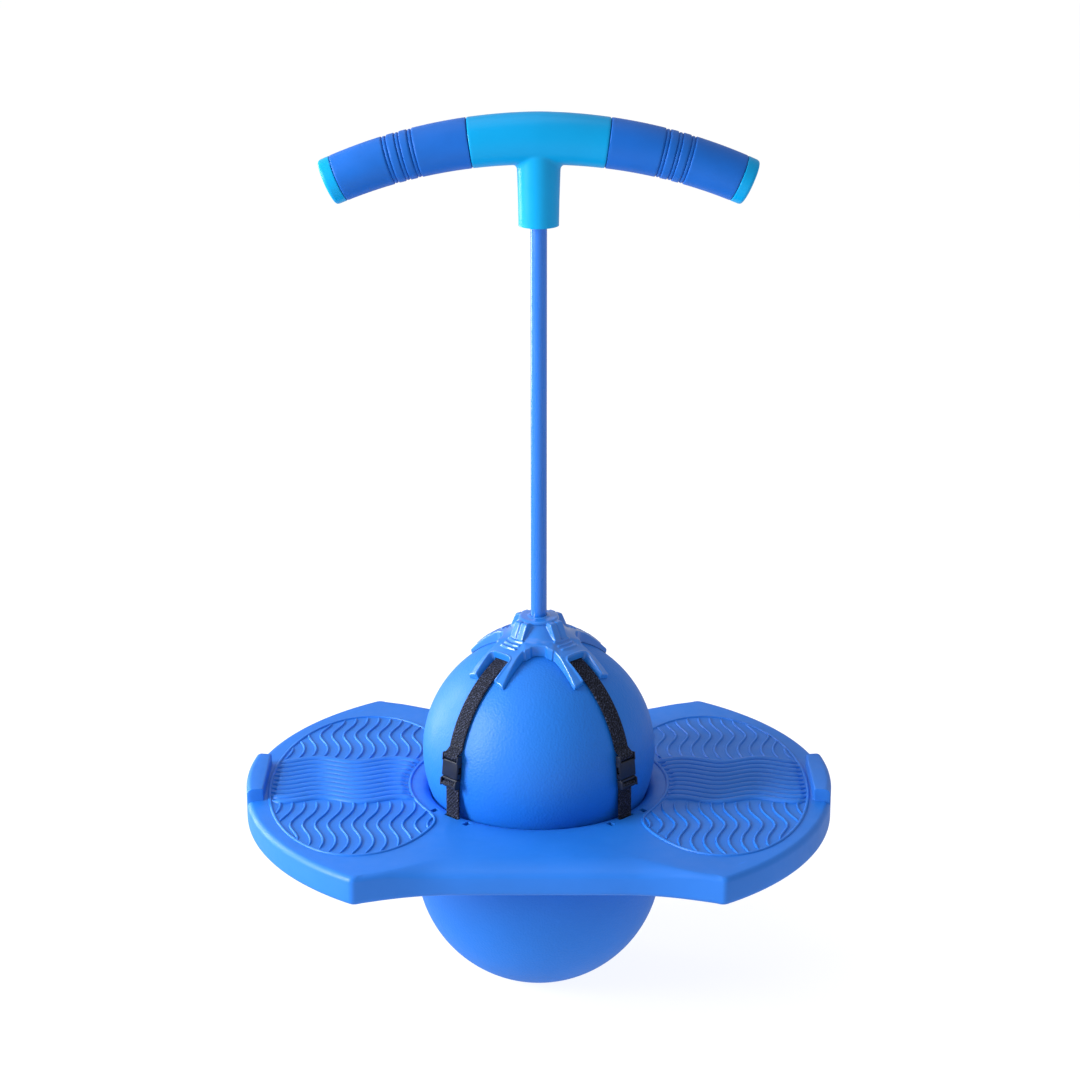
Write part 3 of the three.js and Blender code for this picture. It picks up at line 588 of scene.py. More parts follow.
def webbing(name, colour):
    """Polypropylene webbing: slanted rows of heavy yarn, with painted shade between the rows, painted
    light on their crests, and painted glints in bright speckles.
    """
    f = Finish(name, 0.75, Specular_IOR_Level=0.1)
    web = f.node("ShaderNodeAttribute", attribute_name="web").outputs["Vector"]
    bands = {"wave_type": "BANDS", "bands_direction": "DIAGONAL", "wave_profile": "SIN"}
    waviness = {"Scale": 0.2, "Distortion": 1.4, "Detail": 2.0, "Detail Scale": 1.6}
    rows = f.node("ShaderNodeTexWave", **bands, **waviness)
    f.link(web, rows.inputs["Vector"])
    yarn = f.node("ShaderNodeTexVoronoi", feature="F1", Scale=1.35)
    f.link(f.scaled(0.8, 0.6, 1.0, web), yarn.inputs["Vector"])
    height = f.node("ShaderNodeMath", operation="MULTIPLY_ADD")
    height.inputs[1].default_value = -0.6
    f.link(yarn.outputs["Distance"], height.inputs[0])
    f.link(rows.outputs["Fac"], height.inputs[2])
    # Painted shade and light: the colour follows the rows' relief, darker in the grooves and lighter on
    # the crests.
    stops = [(0.15, shade(colour, 0.45)), (0.6, colour), (1.0, shade(colour, 1.7))]
    # Painted glints: bright speckles of a much lighter shade of the colour stand in for light caught by
    # the fibres.
    glint = f.spread(f.noise(0.75, 3.0, 0.8, web), -1.3, 1.15)
    f.colour(f.mixed(glint, f.ramp(rows.outputs["Fac"], stops), shade(colour, 12.0)))
    f.bump(height.outputs["Value"], 0.8, 0.35)
    return f.material


def acetal(name, colour):
    """Buckle plastic: dark satin nylon with a fine spark texture."""
    f = Finish(name, 0.4, Specular_IOR_Level=0.36)
    f.colour(f.clouds(colour, 60.0, 3.0, 0.85, 1.15))
    f.vary_roughness(f.noise(160.0, 3.0), 0.33, 0.47)
    f.bump(f.noise(2200.0, 2.0), 0.3, 0.05)
    return f.material


def steel(name, colour):
    """Zinc-plated steel with fine turning marks."""
    f = Finish(name, 0.3, Metallic=1.0)
    f.colour(f.clouds(colour, 90.0, 3.0, 0.85, 1.1))
    f.vary_roughness(f.noise(300.0, 2.0, 0.5, f.scaled(1, 1, 6)), 0.22, 0.4)
    f.bump(f.noise(900.0, 2.0, 0.5, f.scaled(1, 1, 5)), 0.15, 0.03)
    return f.material


BALL = ball_vinyl("ball_vinyl", linear(20, 112, 212))
DECK = moulded_plastic("deck_plastic", linear(26, 112, 212), 0.46, 0.18, gloss=0.42)
CLAW = moulded_plastic("claw_plastic", linear(28, 116, 212), 0.32, 0.08, coat=0.8)
TUBE = tube_paint("tube_paint", linear(22, 108, 208))
CYAN = moulded_plastic("handle_plastic", linear(0, 150, 212), 0.34, 0.12, coat=0.04, gloss=0.16)
GRIP = grip_rubber("grip_rubber", linear(4, 94, 188))
WEB = webbing("webbing", linear(21, 24, 35))
BUCKLE = acetal("buckle_plastic", linear(20, 28, 46))
STEEL = steel("steel", linear(168, 172, 178))
THREAD = acetal("thread", linear(30, 30, 34))


# ---- the ball


def make_ball():
    """Two lobes that meet in a waist inside the deck's lip. The lower one has a flat patch where it
    stands on the ground.
    """
    spacing = UPPER_Z - LOWER_Z
    rise = (LOWER_RADIUS**2 - UPPER_RADIUS**2 + spacing**2) / (2 * spacing)
    lower_waist = math.degrees(math.acos(rise / LOWER_RADIUS))
    upper_waist = math.degrees(math.acos((rise - spacing) / UPPER_RADIUS))
    patch = 180 - math.degrees(math.asin(CONTACT_RADIUS / LOWER_RADIUS))
    lower = arc((0, LOWER_Z), LOWER_RADIUS, patch, lower_waist + NECK_TURN, 64)
    upper = arc((0, UPPER_Z), UPPER_RADIUS, upper_waist - NECK_TURN, 0.6, 72)
    pinch = (LIP_RADIUS - LIP_NOSE - NECK_PINCH, LOWER_Z + rise)
    neck = bow(lower[-1], pinch, upper[0], np.linspace(0, 1, 13)[1:-1])
    profile = [(1.0, 0.0), (12.0, 0.0), (22.0, 0.0), *lower, *neck, *upper]
    split = next(k for k, point in enumerate(profile) if point[1] > BALL_SPLIT_Z)
    split_z = profile[split][1]
    low = mesh_object("ball_lower_lobe", turned([*profile[: split + 1], (1.0, split_z)], BALL_SEGMENTS))
    recess = [(TINY, VALVE_SEAT), (7.6, VALVE_SEAT), (7.6, 0.2), (9.6, 2.0), (TINY, 2.0)]
    cut(low, moved(turned(rounded(recess, 0.8, 3), 48), valve_axis()))
    show(low, BALL, "ball", "ball_vinyl", "ball", sharp=40)
    flatten(low)
    high = mesh_object("ball_upper_lobe", turned([(1.0, split_z), *profile[split:]], BALL_SEGMENTS))
    show(high, BALL, "frame", "ball_vinyl", sharp=40)


def flatten(obj):
    """Gives a piece its own copy of its mesh."""
    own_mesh(obj)


def valve_axis():
    """The matrix that stands +Z on the valve's seat, out of the ball, backwards and down."""
    tilt = math.radians(VALVE_TILT)
    out = Vector((0, math.cos(tilt), math.sin(tilt)))
    seat = out * LOWER_RADIUS + Vector((0, 0, LOWER_Z))
    turn = Vector((0, 0, 1)).rotation_difference(out)
    return Matrix.LocRotScale(seat, turn, None)


def make_valve():
    """The valve plug: a shank with a soft rib, a thin flange and a pull tab on it."""
    top = VALVE_SEAT + FIT
    profile = [(TINY, -10.5), (3.4, -10.5), (4.2, -9.0), (4.2, top), (7.1, top), (7.1, top + 1.2)]
    profile += [(6.4, top + 1.5), (5.2, top + 1.5), (4.6, top + 1.0), (2.4, top + 1.0)]
    profile += [(1.9, top + 1.6), (TINY, top + 1.8)]
    obj = mesh_object("valve_stopper", moved(turned(rounded(profile, 0.3, 3), 48), valve_axis()))
    show(obj, BALL, "valve", "ball_vinyl", "valve_plug", sharp=40)
    flatten(obj)


# ---- the deck


def bezier(points, t):
    a, b, c, d = (np.array(p, float) for p in points)
    t = np.asarray(t)[:, None]
    return (1 - t) ** 3 * a + 3 * (1 - t) ** 2 * t * b + 3 * (1 - t) * t**2 * c + t**3 * d


def quarter_outline():
    """The deck's outline from the middle of an end to the middle of a long edge, its corner rounded."""
    curve = [CORNER, CORNER - CORNER_PULL, (WAIST_X + WAIST_PULL, WAIST_Y), (WAIST_X, WAIST_Y)]
    edge = bezier(curve, np.linspace(0, 1, 2001))
    inside = edge + left_of(np.gradient(edge, axis=0)) * CORNER_ROUND
    from_lobe = np.hypot(inside[:, 0] - LOBE_X, inside[:, 1])
    k = int(np.argmin(abs(from_lobe - (LOBE_RADIUS - CORNER_ROUND))))
    centre = inside[k]
    first = math.atan2(centre[1], centre[0] - LOBE_X)
    last = math.atan2(edge[k][1] - centre[1], edge[k][0] - centre[0])
    # Extra stations at the stop's end keep its wall steep there.
    extra = np.array([-0.018, -0.012, -0.009, -0.006, -0.003, 0, 0.003, 0.006, 0.009, 0.012])
    near_stop = math.asin(STOP_HALF / LOBE_RADIUS) + extra
    lobe_angle = np.unique(np.r_[np.linspace(0, first, 66), near_stop])
    lobe = np.column_stack([LOBE_X + LOBE_RADIUS * np.cos(lobe_angle), LOBE_RADIUS * np.sin(lobe_angle)])
    corner_angle = np.linspace(first, last, 9)[1:-1]
    corner = centre + CORNER_ROUND * np.column_stack([np.cos(corner_angle), np.sin(corner_angle)])
    waist = edge[np.unique(np.linspace(k, 2000, 30).astype(int))]
    middle = np.column_stack([np.linspace(WAIST_X, 0, 17)[1:], np.full(16, WAIST_Y)])
    return np.vstack([lobe, corner, waist, middle])


def full_outline():
    """The whole outline, counter-clockwise, and its outward normals."""
    quarter = quarter_outline()
    half = np.vstack([quarter, (quarter[:-1] * (-1, 1))[::-1]])
    plan = np.vstack([half[:-1], (half * (1, -1))[::-1][:-1]])
    return plan, -left_of(np.roll(plan, -1, axis=0) - np.roll(plan, 1, axis=0))


def ease(value, low, high):
    """0 below low, 1 above high, smooth between."""
    t = np.clip((value - low) / (high - low), 0, 1)
    return t * t * (3 - 2 * t)


def deck_skin():
    """The board as one skin round the ball's hole: lip, top, stops, rolled edge, side and bottom."""
    plan, normal = full_outline()
    out = plan / np.linalg.norm(plan, axis=1)[:, None]
    lean = np.einsum("ij,ij->i", out, normal)
    x, y = np.abs(plan).T

    def row(inset, height):
        """The outline drawn in by an inset, at a height."""
        flat = plan - out * (np.broadcast_to(inset, len(plan)) / lean)[:, None]
        return np.column_stack([flat, np.broadcast_to(height, len(plan))])

    def lip(angle):
        """The lip's nose: round below, a little squarer above."""
        power = LIP_SQUARE if angle > math.pi / 2 else 1.0
        radius = LIP_RADIUS - LIP_NOSE * abs(math.sin(angle)) ** power
        rise = math.copysign(abs(math.cos(angle)) ** power, -math.cos(angle))
        return np.column_stack([out * radius, np.full(len(plan), LIP_Z + LIP_NOSE * rise)])

    # The edge's roll is wider at the waist. The wall is the stop's inner face, on the ends only.
    side_on = ease(y, 150, 172) * (1 - ease(x, 78, 132))
    roll_wide = DECK_EDGE + WAIST_ROLL_WIDE * side_on
    roll_deep = DECK_EDGE + WAIST_ROLL_DEEP * side_on
    stop = (1 - ease(y, STOP_HALF - 2.2, STOP_HALF)) * (x > 150)
    wall = np.where(x > 200, (x - STOP_INNER_X) * lean / abs(out[:, 0]).clip(0.2), roll_wide + 9)
    wall = np.where(y < STOP_HALF + 6, wall, np.maximum(roll_wide + 5, np.minimum(wall, roll_wide + 9)))
    top = DECK_TOP + STOP_RISE * stop

    rows = [lip(a) for a in np.linspace(0, math.pi, 15)]
    first_flat = rows[-1]
    wall_foot = row(wall + STOP_ROUND, DECK_TOP)
    rows += [first_flat + (wall_foot - first_flat) * t for t in (0.06, 0.2, 0.4, 0.6, 0.8, 0.93)]
    rows.append(wall_foot)
    for t in (0.3, 0.6, 1.0):
        rows.append(row(wall + STOP_ROUND * (1 - t) ** 2, DECK_TOP + 1.2 * stop * t**2))
    rows.append(row(wall - 0.15, DECK_TOP + (STOP_RISE - STOP_ROUND) * stop))
    for angle in np.radians([30, 60, 90]):
        rise = STOP_RISE - STOP_ROUND * (1 - math.sin(angle))
        rows.append(row(wall - 0.15 - STOP_ROUND * (1 - math.cos(angle)), DECK_TOP + rise * stop))
    for angle in np.radians(np.linspace(0, 90, 10)):
        inset = roll_wide * (1 - math.sin(angle))
        rows.append(row(inset, top - roll_deep * (1 - math.cos(angle))))
    rows.append(row(0, DECK_BOTTOM + DECK_EDGE + 6))
    for angle in np.radians(np.linspace(0, 90, 7)):
        height = DECK_BOTTOM + DECK_EDGE * (1 - math.sin(angle))
        rows.append(row(DECK_EDGE * (1 - math.cos(angle)), height))
    under = rows[-1]
    hole = np.column_stack([out * LIP_RADIUS, np.full(len(plan), DECK_BOTTOM)])
    rows += [under + (hole - under) * t for t in (0.25, 0.5, 0.75, 0.94, 1.0)]
    return loft(rows, wrap=True)


def strap_passage(azimuth):
    """The slot, the two peg holes and the anchor's pocket of one strap, as cutters."""
    half, low, high = WEB_WIDTH / 2 + 0.6, DECK_BOTTOM - 1, DECK_TOP + 2
    made = [block((SLOT_R[0], -half, low), (SLOT_R[1], half, high), 0.6)]
    made += [block((PEG_R[0], y - 2.5, low), (PEG_R[1], y + 2.5, high), 0.5) for y in (-PEG_Y, PEG_Y)]
    pocket = (POCKET_R[0], -POCKET_HALF, DECK_BOTTOM - 4), (POCKET_R[1], POCKET_HALF, POCKET_TOP)
    return [moved(cutter, turn_about(azimuth)) for cutter in (*made, block(*pocket, 1.2))]


def tie_dimples():
    """The cone dimples under the deck that tie its two skins together, and the blow hole."""
    low = DECK_BOTTOM - 2
    profile = [(TINY, low), (8.6, low), (TIE_MOUTH, DECK_BOTTOM), (TIE_TIP, TIE_TOP), (TINY, TIE_TOP)]
    cone = turned(rounded(profile, 1.0, 3), 32)
    made = []
    for side in (0, 180):
        for radius, azimuths in TIE_ROWS:
            for azimuth in azimuths:
                angle = math.radians(azimuth + side)
                centre = (radius * math.cos(angle), radius * math.sin(angle), 0)
                made.append(moved(cone, Matrix.Translation(centre)))
    blow_hole = rod(3, DECK_BOTTOM - 1, DECK_BOTTOM + 6, 24)
    return [*made, moved(blow_hole, Matrix.Translation((0, 150, 0)))]


def in_land(x, y, outline):
    """Whether points are inside the land's outline, by counting the edges to their right."""
    after = np.roll(outline, -1, axis=0)
    (x0, y0), (x1, y1) = outline.T[..., None], after.T[..., None]
    crosses = (y0 > y) != (y1 > y)
    meets = x0 + (y - y0) * (x1 - x0) / np.where(y1 == y0, 1.0, y1 - y0)
    return (crosses & (x < meets)).sum(axis=0) % 2 == 1


def ridge(path, half, rise, closed=False):
    """A low half-round ridge along a path on the deck's top, its foot sunk, its ends tapered."""
    path = np.asarray(path)
    run = np.roll(path, -1, axis=0) - np.roll(path, 1, axis=0) if closed else np.gradient(path, axis=0)
    along = np.arange(len(path))
    fade = np.ones(len(path)) if closed else np.clip(np.minimum(along, along[::-1]) / 2, 0.35, 1)
    crown = [(-0.8, 0.62), (-0.42, 0.93), (0, 1), (0.42, 0.93), (0.8, 0.62)]
    section = [(-1, -0.5), (-1, 0.0), *crown, (1, 0.0), (1, -0.5)]
    rings = []
    for p, s, f in zip(path, left_of(run), fade):
        rings.append([
            (*(p + s * across * half * f), DECK_TOP + up * rise * (f if up > 0 else 1))
            for across, up in section
        ])
    return loft(rings, wrap=closed)


def runs_inside(path, keep):
    """The stretches of a path, of four points or more, where keep is true."""
    stretches, current = [], []
    for point, kept in zip(path, keep):
        if kept:
            current.append(point)
        elif current:
            stretches.append(current)
            current = []
    stretches.append(current)
    return [np.array(s) for s in stretches if len(s) >= 4]


def land_outline():
    """The line round the land: an ellipse, bitten into by a ring about the ball."""
    angle = np.linspace(0, 2 * math.pi, 720, endpoint=False)
    ellipse = np.column_stack([LAND_X + LAND_HALF[0] * np.cos(angle), LAND_HALF[1] * np.sin(angle)])
    kept = np.hypot(*ellipse.T) > LAND_RING
    start = int(np.argmax(kept & ~np.roll(kept, 1)))
    ellipse, kept = np.roll(ellipse, -start, axis=0), np.roll(kept, -start)
    outer = ellipse[kept]
    first, last = (math.atan2(p[1], p[0]) % (2 * math.pi) for p in (outer[-1], outer[0]))
    turn = np.linspace(first, last, 90)[1:-1]
    inner = LAND_RING * np.column_stack([np.cos(turn), np.sin(turn)])
    loop = np.vstack([outer, inner, outer[:1]])
    length = run_length(loop)
    even = resampled(loop, length, np.linspace(0, length[-1], 300, endpoint=False))
    for _ in range(LAND_SMOOTHING):
        even = (np.roll(even, 1, axis=0) + 2 * even + np.roll(even, -1, axis=0)) / 4
    return even


def land_ridges():
    """All the ridges of the left foot land."""
    outline = land_outline()
    made = [ridge(outline, 1.4, 1.2, closed=True)]

    def add_inside(x, y, half, rise):
        """Adds a ridge for each stretch of a line that is inside the land."""
        for path in runs_inside(np.column_stack([x, y]), in_land(x, y, outline)):
            made.append(ridge(path, half, rise))

    lattice = LAND_X - 19.4 + WAVE_PITCH * np.arange(-8, 12)
    for low, high, phase in ((BAND_HIGH - 0.5, 150, 104.0), (-150, BAND_LOW + 0.5, -88.5)):
        y = np.arange(low, high, 2.2)
        turn = 2 * math.pi * (y - phase) / WAVE_LENGTH
        for x0 in lattice:
            add_inside(x0 - WAVE_SWING * (np.cos(turn) + 0.08 * np.cos(2 * turn)), y, 1.15, 1.3)
    x = np.arange(-232, -90, 2.5)
    for y0 in np.linspace(BAND_LOW + 4.2, BAND_HIGH - 4.2, BAND_RIBS):
        turn = 2 * math.pi * (x + 187 + 0.126 * y0) / BAND_LENGTH
        add_inside(x, y0 + BAND_SWING * np.cos(turn), 3.9, 2.5)
    return made


def make_deck():
    obj = mesh_object("deck_board", deck_skin())
    cutters = [made for azimuth in PLACES.values() for made in strap_passage(azimuth)]
    cut(obj, joined([*cutters, *tie_dimples()]))
    left = land_ridges()
    mirror = Matrix.Scale(-1, 4, Vector((1, 0, 0)))
    ridges = mesh_object("ridges", joined([*left, *(moved(made, mirror) for made in left)]))
    with bpy.context.temp_override(active_object=obj, selected_editable_objects=[obj, ridges]):
        bpy.ops.object.join()
    show(obj, DECK, "frame", "deck_plastic", "deck", sharp=38)


# ---- the claw


def on_dome(radius, polar, azimuth=0.0):
    """The matrix that stands +Z out of a dome about the upper lobe's centre."""
    lift = Matrix.Translation((0, 0, UPPER_Z)) @ turn_about(azimuth)
    return lift @ Matrix.Rotation(math.radians(polar), 4, "Y") @ Matrix.Translation((0, 0, radius))


def soft_min(a, b, blend):
    """The lower of two heights, rounded where they cross."""
    near = np.clip(0.5 + 0.5 * (b - a) / blend, 0, 1)
    return b + (a - b) * near - blend * near * (1 - near)


def claw_height(x, y):
    """How far the claw stands out of its inner dome, over the plan: legs, forks, borders, bars."""
    u, v = (abs(x) + abs(y)) / math.sqrt(2), abs(abs(x) - abs(y)) / math.sqrt(2)
    a, b = np.maximum(abs(x), abs(y)), np.minimum(abs(x), abs(y))
    polar = np.arcsin(np.clip(np.hypot(x, y) / CLAW_INNER, 0, 0.99))

    # The arch between two legs is a wedge with a rounded end. Two ribs stand on its wall.
    wedge = math.radians(ARCH_SPREAD)
    along = (a - ARCH_X) * math.cos(wedge) + b * math.sin(wedge)
    across = b * math.cos(wedge) - (a - ARCH_X) * math.sin(wedge)
    from_arch = np.where(along < 0, np.hypot(a - ARCH_X, b), across) - ARCH_RADIUS
    from_arch += ARCH_RIB_RISE * (ease(b, 5.6, 6.3) * (1 - ease(b, 10.7, 11.4)))

    # The fork is a slot with rounded inner corners.
    outside = [FORK_START + FORK_ROUND - u, v - FORK_HALF + FORK_ROUND]
    corner = np.hypot(np.maximum(outside[0], 0), np.maximum(outside[1], 0))
    from_fork = corner + np.minimum(np.maximum(*outside), 0) - FORK_ROUND

    # The legs thin towards their tips and sides, and the hub's cone falls away to them.
    plate = CLAW_THICK - (CLAW_THICK - TIP_THICK) * ease(u, 36, 64)
    plate -= LEG_CROWN * (v / 18) ** 2 * ease(u, 30, 45)
    plate += APEX_SWELL * (1 - ease(a, 33, 44)) * (1 - ease(b, 10, 16))
    slope = CONE_TOP - UPPER_Z + CONE_RADIUS * CONE_SLOPE
    slope = slope / (np.cos(polar) + CONE_SLOPE * np.sin(polar)) - CLAW_INNER
    cone = np.minimum(slope, (CONE_TOP - UPPER_Z) / np.cos(polar) - CLAW_INNER)
    height = -soft_min(-plate, -cone, 3.0)

    border = ease(from_fork, 0.5, 1.0) * (1 - ease(from_fork, 2.7, 3.5))
    height += BORDER_RISE * border * ease(u, FORK_START - 5, FORK_START - 4)
    for bar in LEG_BARS:
        off = abs(polar * CLAW_OUTER - math.radians(bar) * CLAW_OUTER)
        height += LEG_BAR_RISE * (1 - ease(off, 0.45, 1.25)) * (1 - ease(v, 7.6, 8.3))
    height = soft_min(height, from_arch * ARCH_WALL, 1.4)
    height = soft_min(height, from_fork * FORK_WALL, 1.0)
    height = soft_min(height, (TIP_U - u) * TIP_WALL, 1.2)
    return np.maximum(height, -2.5)


def claw_legs():
    """The claw's dome with its legs, as a closed solid that reaches below its inner dome."""
    edge = CLAW_REACH + 2
    count = 2 * round(edge / CLAW_VOXEL) + 1
    line = np.linspace(-CLAW_REACH - 2, edge, count)
    u, v = np.meshgrid(line, line, indexing="ij")
    x, y = (u - v) / math.sqrt(2), (u + v) / math.sqrt(2)
    direction = np.stack([x, y, np.sqrt(CLAW_INNER**2 - x**2 - y**2)], axis=-1) / CLAW_INNER
    top = direction * (CLAW_INNER + claw_height(x, y))[..., None] + (0, 0, UPPER_Z)
    under = direction * (CLAW_INNER - 5) + (0, 0, UPPER_Z)
    points = np.concatenate([top.reshape(-1, 3), under.reshape(-1, 3)])
    index = np.arange(count * count).reshape(count, count)
    corners = [index[:-1, :-1], index[1:, :-1], index[1:, 1:], index[:-1, 1:]]
    cells = np.stack(corners, axis=-1).reshape(-1, 4)
    rim = np.concatenate([index[:-1, 0], index[-1, :-1], index[:0:-1, -1], index[0, :0:-1]])
    after = np.roll(rim, -1)
    skirt = np.stack([after, rim, rim + count**2, after + count**2], axis=-1)
    faces = [*cells.tolist(), *(cells[:, ::-1] + count**2).tolist(), *skirt.tolist()]
    return points, faces


def claw_brace(azimuth):
    """A steep brace from the boss's rim to a leg's root: two flat ribs with a groove between them."""
    parts = []
    for side in (-1, 1):
        rings = []
        for r, z in BRACE_LINE:
            inner, outer = 0.8, 6.3 + 0.9 * (r - 10) / 16
            section = [(inner, CLAW_FOOT_Z), (inner, z - 0.4), (inner + 0.4, z)]
            section += [(outer - 0.5, z), (outer, z - 0.5), (outer + 0.5, CLAW_FOOT_Z)]
            rings.append([(r, side * y, height) for y, height in section])
        parts.append(loft(rings))
    web = []
    for r, z in BRACE_WEB:
        web.append([(r, -1.2, CLAW_FOOT_Z), (r, -1.2, z), (r, 1.2, z), (r, 1.2, CLAW_FOOT_Z)])
    return [moved(made, turn_about(azimuth)) for made in (*parts, loft(web))]


def web_channel(azimuth):
    """A cutter for the room that the upper webbing has under a leg."""
    inner, outer = CLAW_INNER - 3, WEB_RADIUS + WEB_THICK / 2 + 0.6
    half = WEB_WIDTH / 2 + 0.7
    rings = []
    for polar in np.linspace(13.4, 50, 24):
        turn, radius = math.radians(polar), np.array([inner, outer])
        r, z = radius * math.sin(turn), UPPER_Z + radius * math.cos(turn)
        rings.append([(r[0], -half, z[0]), (r[1], -half, z[1]), (r[1], half, z[1]), (r[0], half, z[0])])
    return moved(loft(rings), turn_about(azimuth))


def make_claw():
    """The claw: legs, boss and braces, melted together, then cut for the ball, webbing, tube and bolt."""
    boss = [(TINY, 300), (16, 300), (16, BOSS_TOP - 3.4), (RIM_RADIUS, BOSS_TOP - 2.6)]
    boss += [(RIM_RADIUS, BOSS_TOP - 1.0), (RIM_RADIUS - 1.4, BOSS_TOP), (9.4, BOSS_TOP)]
    boss += [(8.6, BOSS_TOP + 0.8), (TINY, BOSS_TOP + 0.8)]
    parts = [claw_legs(), turned(boss, 96)]
    for azimuth in PLACES.values():
        parts += claw_brace(azimuth)
    obj = mesh_object("claw_moulding", joined(parts))
    melt(obj, CLAW_VOXEL, 4, 0.4)
    cut(obj, turned([*arc((0, UPPER_Z), CLAW_INNER, 0.3, 80, 60), (TINY, 200)], 144))
    cut(obj, *(web_channel(azimuth) for azimuth in PLACES.values()))
    tube_bore = rod(TUBE_RADIUS + FIT, 316.0, BOSS_TOP + 9, 48)
    cut(obj, tube_bore, rod(7.2, 290, 311.3, 40), rod(2.75, 300, 320, 24))
    show(obj, CLAW, "frame", "claw_plastic", "claw_hub", sharp=50)


# ---- the tube and the handle


def bar_radius(s):
    """The handle bar's radius at a distance along it."""
    return BAR_MID_RADIUS + (BAR_END_RADIUS - BAR_MID_RADIUS) * abs(s) / BAR_HALF


def make_tube():
    outer, inner = TUBE_RADIUS, TUBE_RADIUS - TUBE_WALL
    low, high = tube_low[2], tube_high[2]
    wall = [(outer, z) for z in np.linspace(low + 2, high - 2, 30)]
    profile = [(inner, low), (outer - 0.3, low), *wall, (outer - 0.3, high), (inner, high)]
    obj = mesh_object("tube_painted", turned(profile, 64, wrap=True))
    show(obj, TUBE, "frame", "tube_paint", "tube", sharp=50)


def stem_skin():
    """The T's stem: a slightly flared round post whose top spreads into the bar's underside."""
    angle = np.linspace(0, 2 * math.pi, 96, endpoint=False)
    cos, sin = np.cos(angle), np.sin(angle)

    def underside(radius):
        """The height of the bar's lower surface over a ring."""
        x, y, thick = radius * cos, radius * sin, bar_radius(0)
        return BAR_Z - BAR_BEND + np.sqrt(BAR_BEND**2 - x**2) - np.sqrt(np.maximum(thick**2 - y**2, 4.0))

    low, middle = STEM_BOTTOM - 4, STEM_BOTTOM + 20
    rings = [circle(0.5, low, 96), circle(STEM_BOTTOM_RADIUS, low, 96), circle(STEM_RADIUS, middle, 96)]
    width = STEM_SPREAD * cos**2
    foot = underside(17.5) - width - 0.6
    for t in np.linspace(0.1, 1, 14):
        radius = STEM_RADIUS + (STEM_TOP_RADIUS - STEM_RADIUS) * t
        rings.append(circle(radius, middle + (foot - STEM_BOTTOM - 20) * t, 96))
    for turn in np.radians(np.linspace(10, 90, 8)):
        radius = STEM_TOP_RADIUS + width * (1 - math.cos(turn)) + 0.4 * math.sin(turn)
        rings.append(circle(radius, foot + (underside(radius) + 0.35 - foot) * math.sin(turn), 96))
    return loft([*rings, circle(13.0, BAR_Z, 96)])


def make_handle():
    """The T moulding, bored for the tube and both ends of its bar, and the cross screw at its back."""
    shoulder, end = BAR_CENTRE, BAR_HALF - CAP_LENGTH - FIT
    middle = [(bar_radius(s), s) for s in np.linspace(-shoulder + 0.8, shoulder - 0.8, 41)]
    spigots = [[(SPIGOT, side * s) for s in np.linspace(shoulder, end, 20)] for side in (-1, 1)]
    rim = bar_radius(shoulder)
    profile = [(TINY, -end), *reversed(spigots[0]), (rim - 0.8, -shoulder), (rim - 0.2, -shoulder + 0.25)]
    profile += [*middle, (rim - 0.2, shoulder - 0.25), (rim - 0.8, shoulder), *spigots[1], (TINY, end)]
    obj = mesh_object("t_moulding", joined([along_bar(profile, 96), stem_skin()]))
    melt(obj, 0.7, 8, 0.35)
    for side in (-1, 1):
        wall = [(11.5, side * s) for s in np.linspace(27, end + 6, 24)]
        cut(obj, along_bar([(TINY, side * 27), *wall, (TINY, side * (end + 6))], 48))
    cut(obj, rod(24, STEM_BOTTOM - 9, STEM_BOTTOM, 48))
    cut(obj, rod(TUBE_RADIUS + FIT, STEM_BOTTOM - 5, tube_high[2] + 0.5, 64))
    to_back = laid_at(0, SCREW_Z)
    cut(obj, moved(rod(2.3, -11, 30, 24), to_back), moved(rod(4.4, 12.4, 30, 40), to_back))
    show(obj, CYAN, "frame", "handle_plastic", "t_handle", sharp=40)
    head = rounded([(TINY, 12.7), (3.9, 12.7), (3.9, 14.4), (2.6, 15.6), (TINY, 15.9)], 0.5, 3)
    screw = mesh_object("stem_cross_screw", moved(turned(head, 40), to_back))
    for slot_turn in (0, 90):
        cut(screw, moved(block((-2.2, -0.45, 14.6), (2.2, 0.45, 17)), to_back @ turn_about(slot_turn)))
    add(screw, moved(rod(1.9, -9.5, 13.5, 24), to_back))
    show(screw, STEEL, "frame", "steel", "stem_screw", sharp=35)


def make_grip(name, side):
    """A sleeve on the bar with three pairs of fine rings cut round it."""
    start, end = BAR_CENTRE + FIT, BAR_HALF - CAP_LENGTH - FIT
    outside = [(bar_radius(start) - 0.7, start), (bar_radius(start) - 0.1, start + 0.4)]

    def to_ring(s):
        """The distance from a place on the sleeve to its nearest ring."""
        return min(abs(s - ring) for ring in GRIP_RINGS)

    stations = [s for s in np.linspace(start + 1.2, end - 1.2, 60) if to_ring(s) > 2.6]
    for ring in GRIP_RINGS:
        stations += list(ring + np.linspace(-2.4, 2.4, 17))
    for s in sorted(stations):
        groove = GROOVE_DEPTH * math.exp(-(((to_ring(s) - 1.5) / 0.5) ** 2))
        groove += 0.35 * math.exp(-((to_ring(s) / 1.6) ** 4))
        outside.append((bar_radius(s) - groove, s))
    outside += [(bar_radius(end) - 0.1, end - 0.4), (bar_radius(end) - 0.7, end)]
    inside = [(SPIGOT + FIT, s) for s in np.linspace(end, start, 24)]
    profile = [(r, side * s) for r, s in (*outside, *inside)]
    obj = mesh_object(name + "_sleeve", along_bar(profile, 96, wrap=True))
    show(obj, GRIP, "frame", "grip_rubber", name, sharp=50)


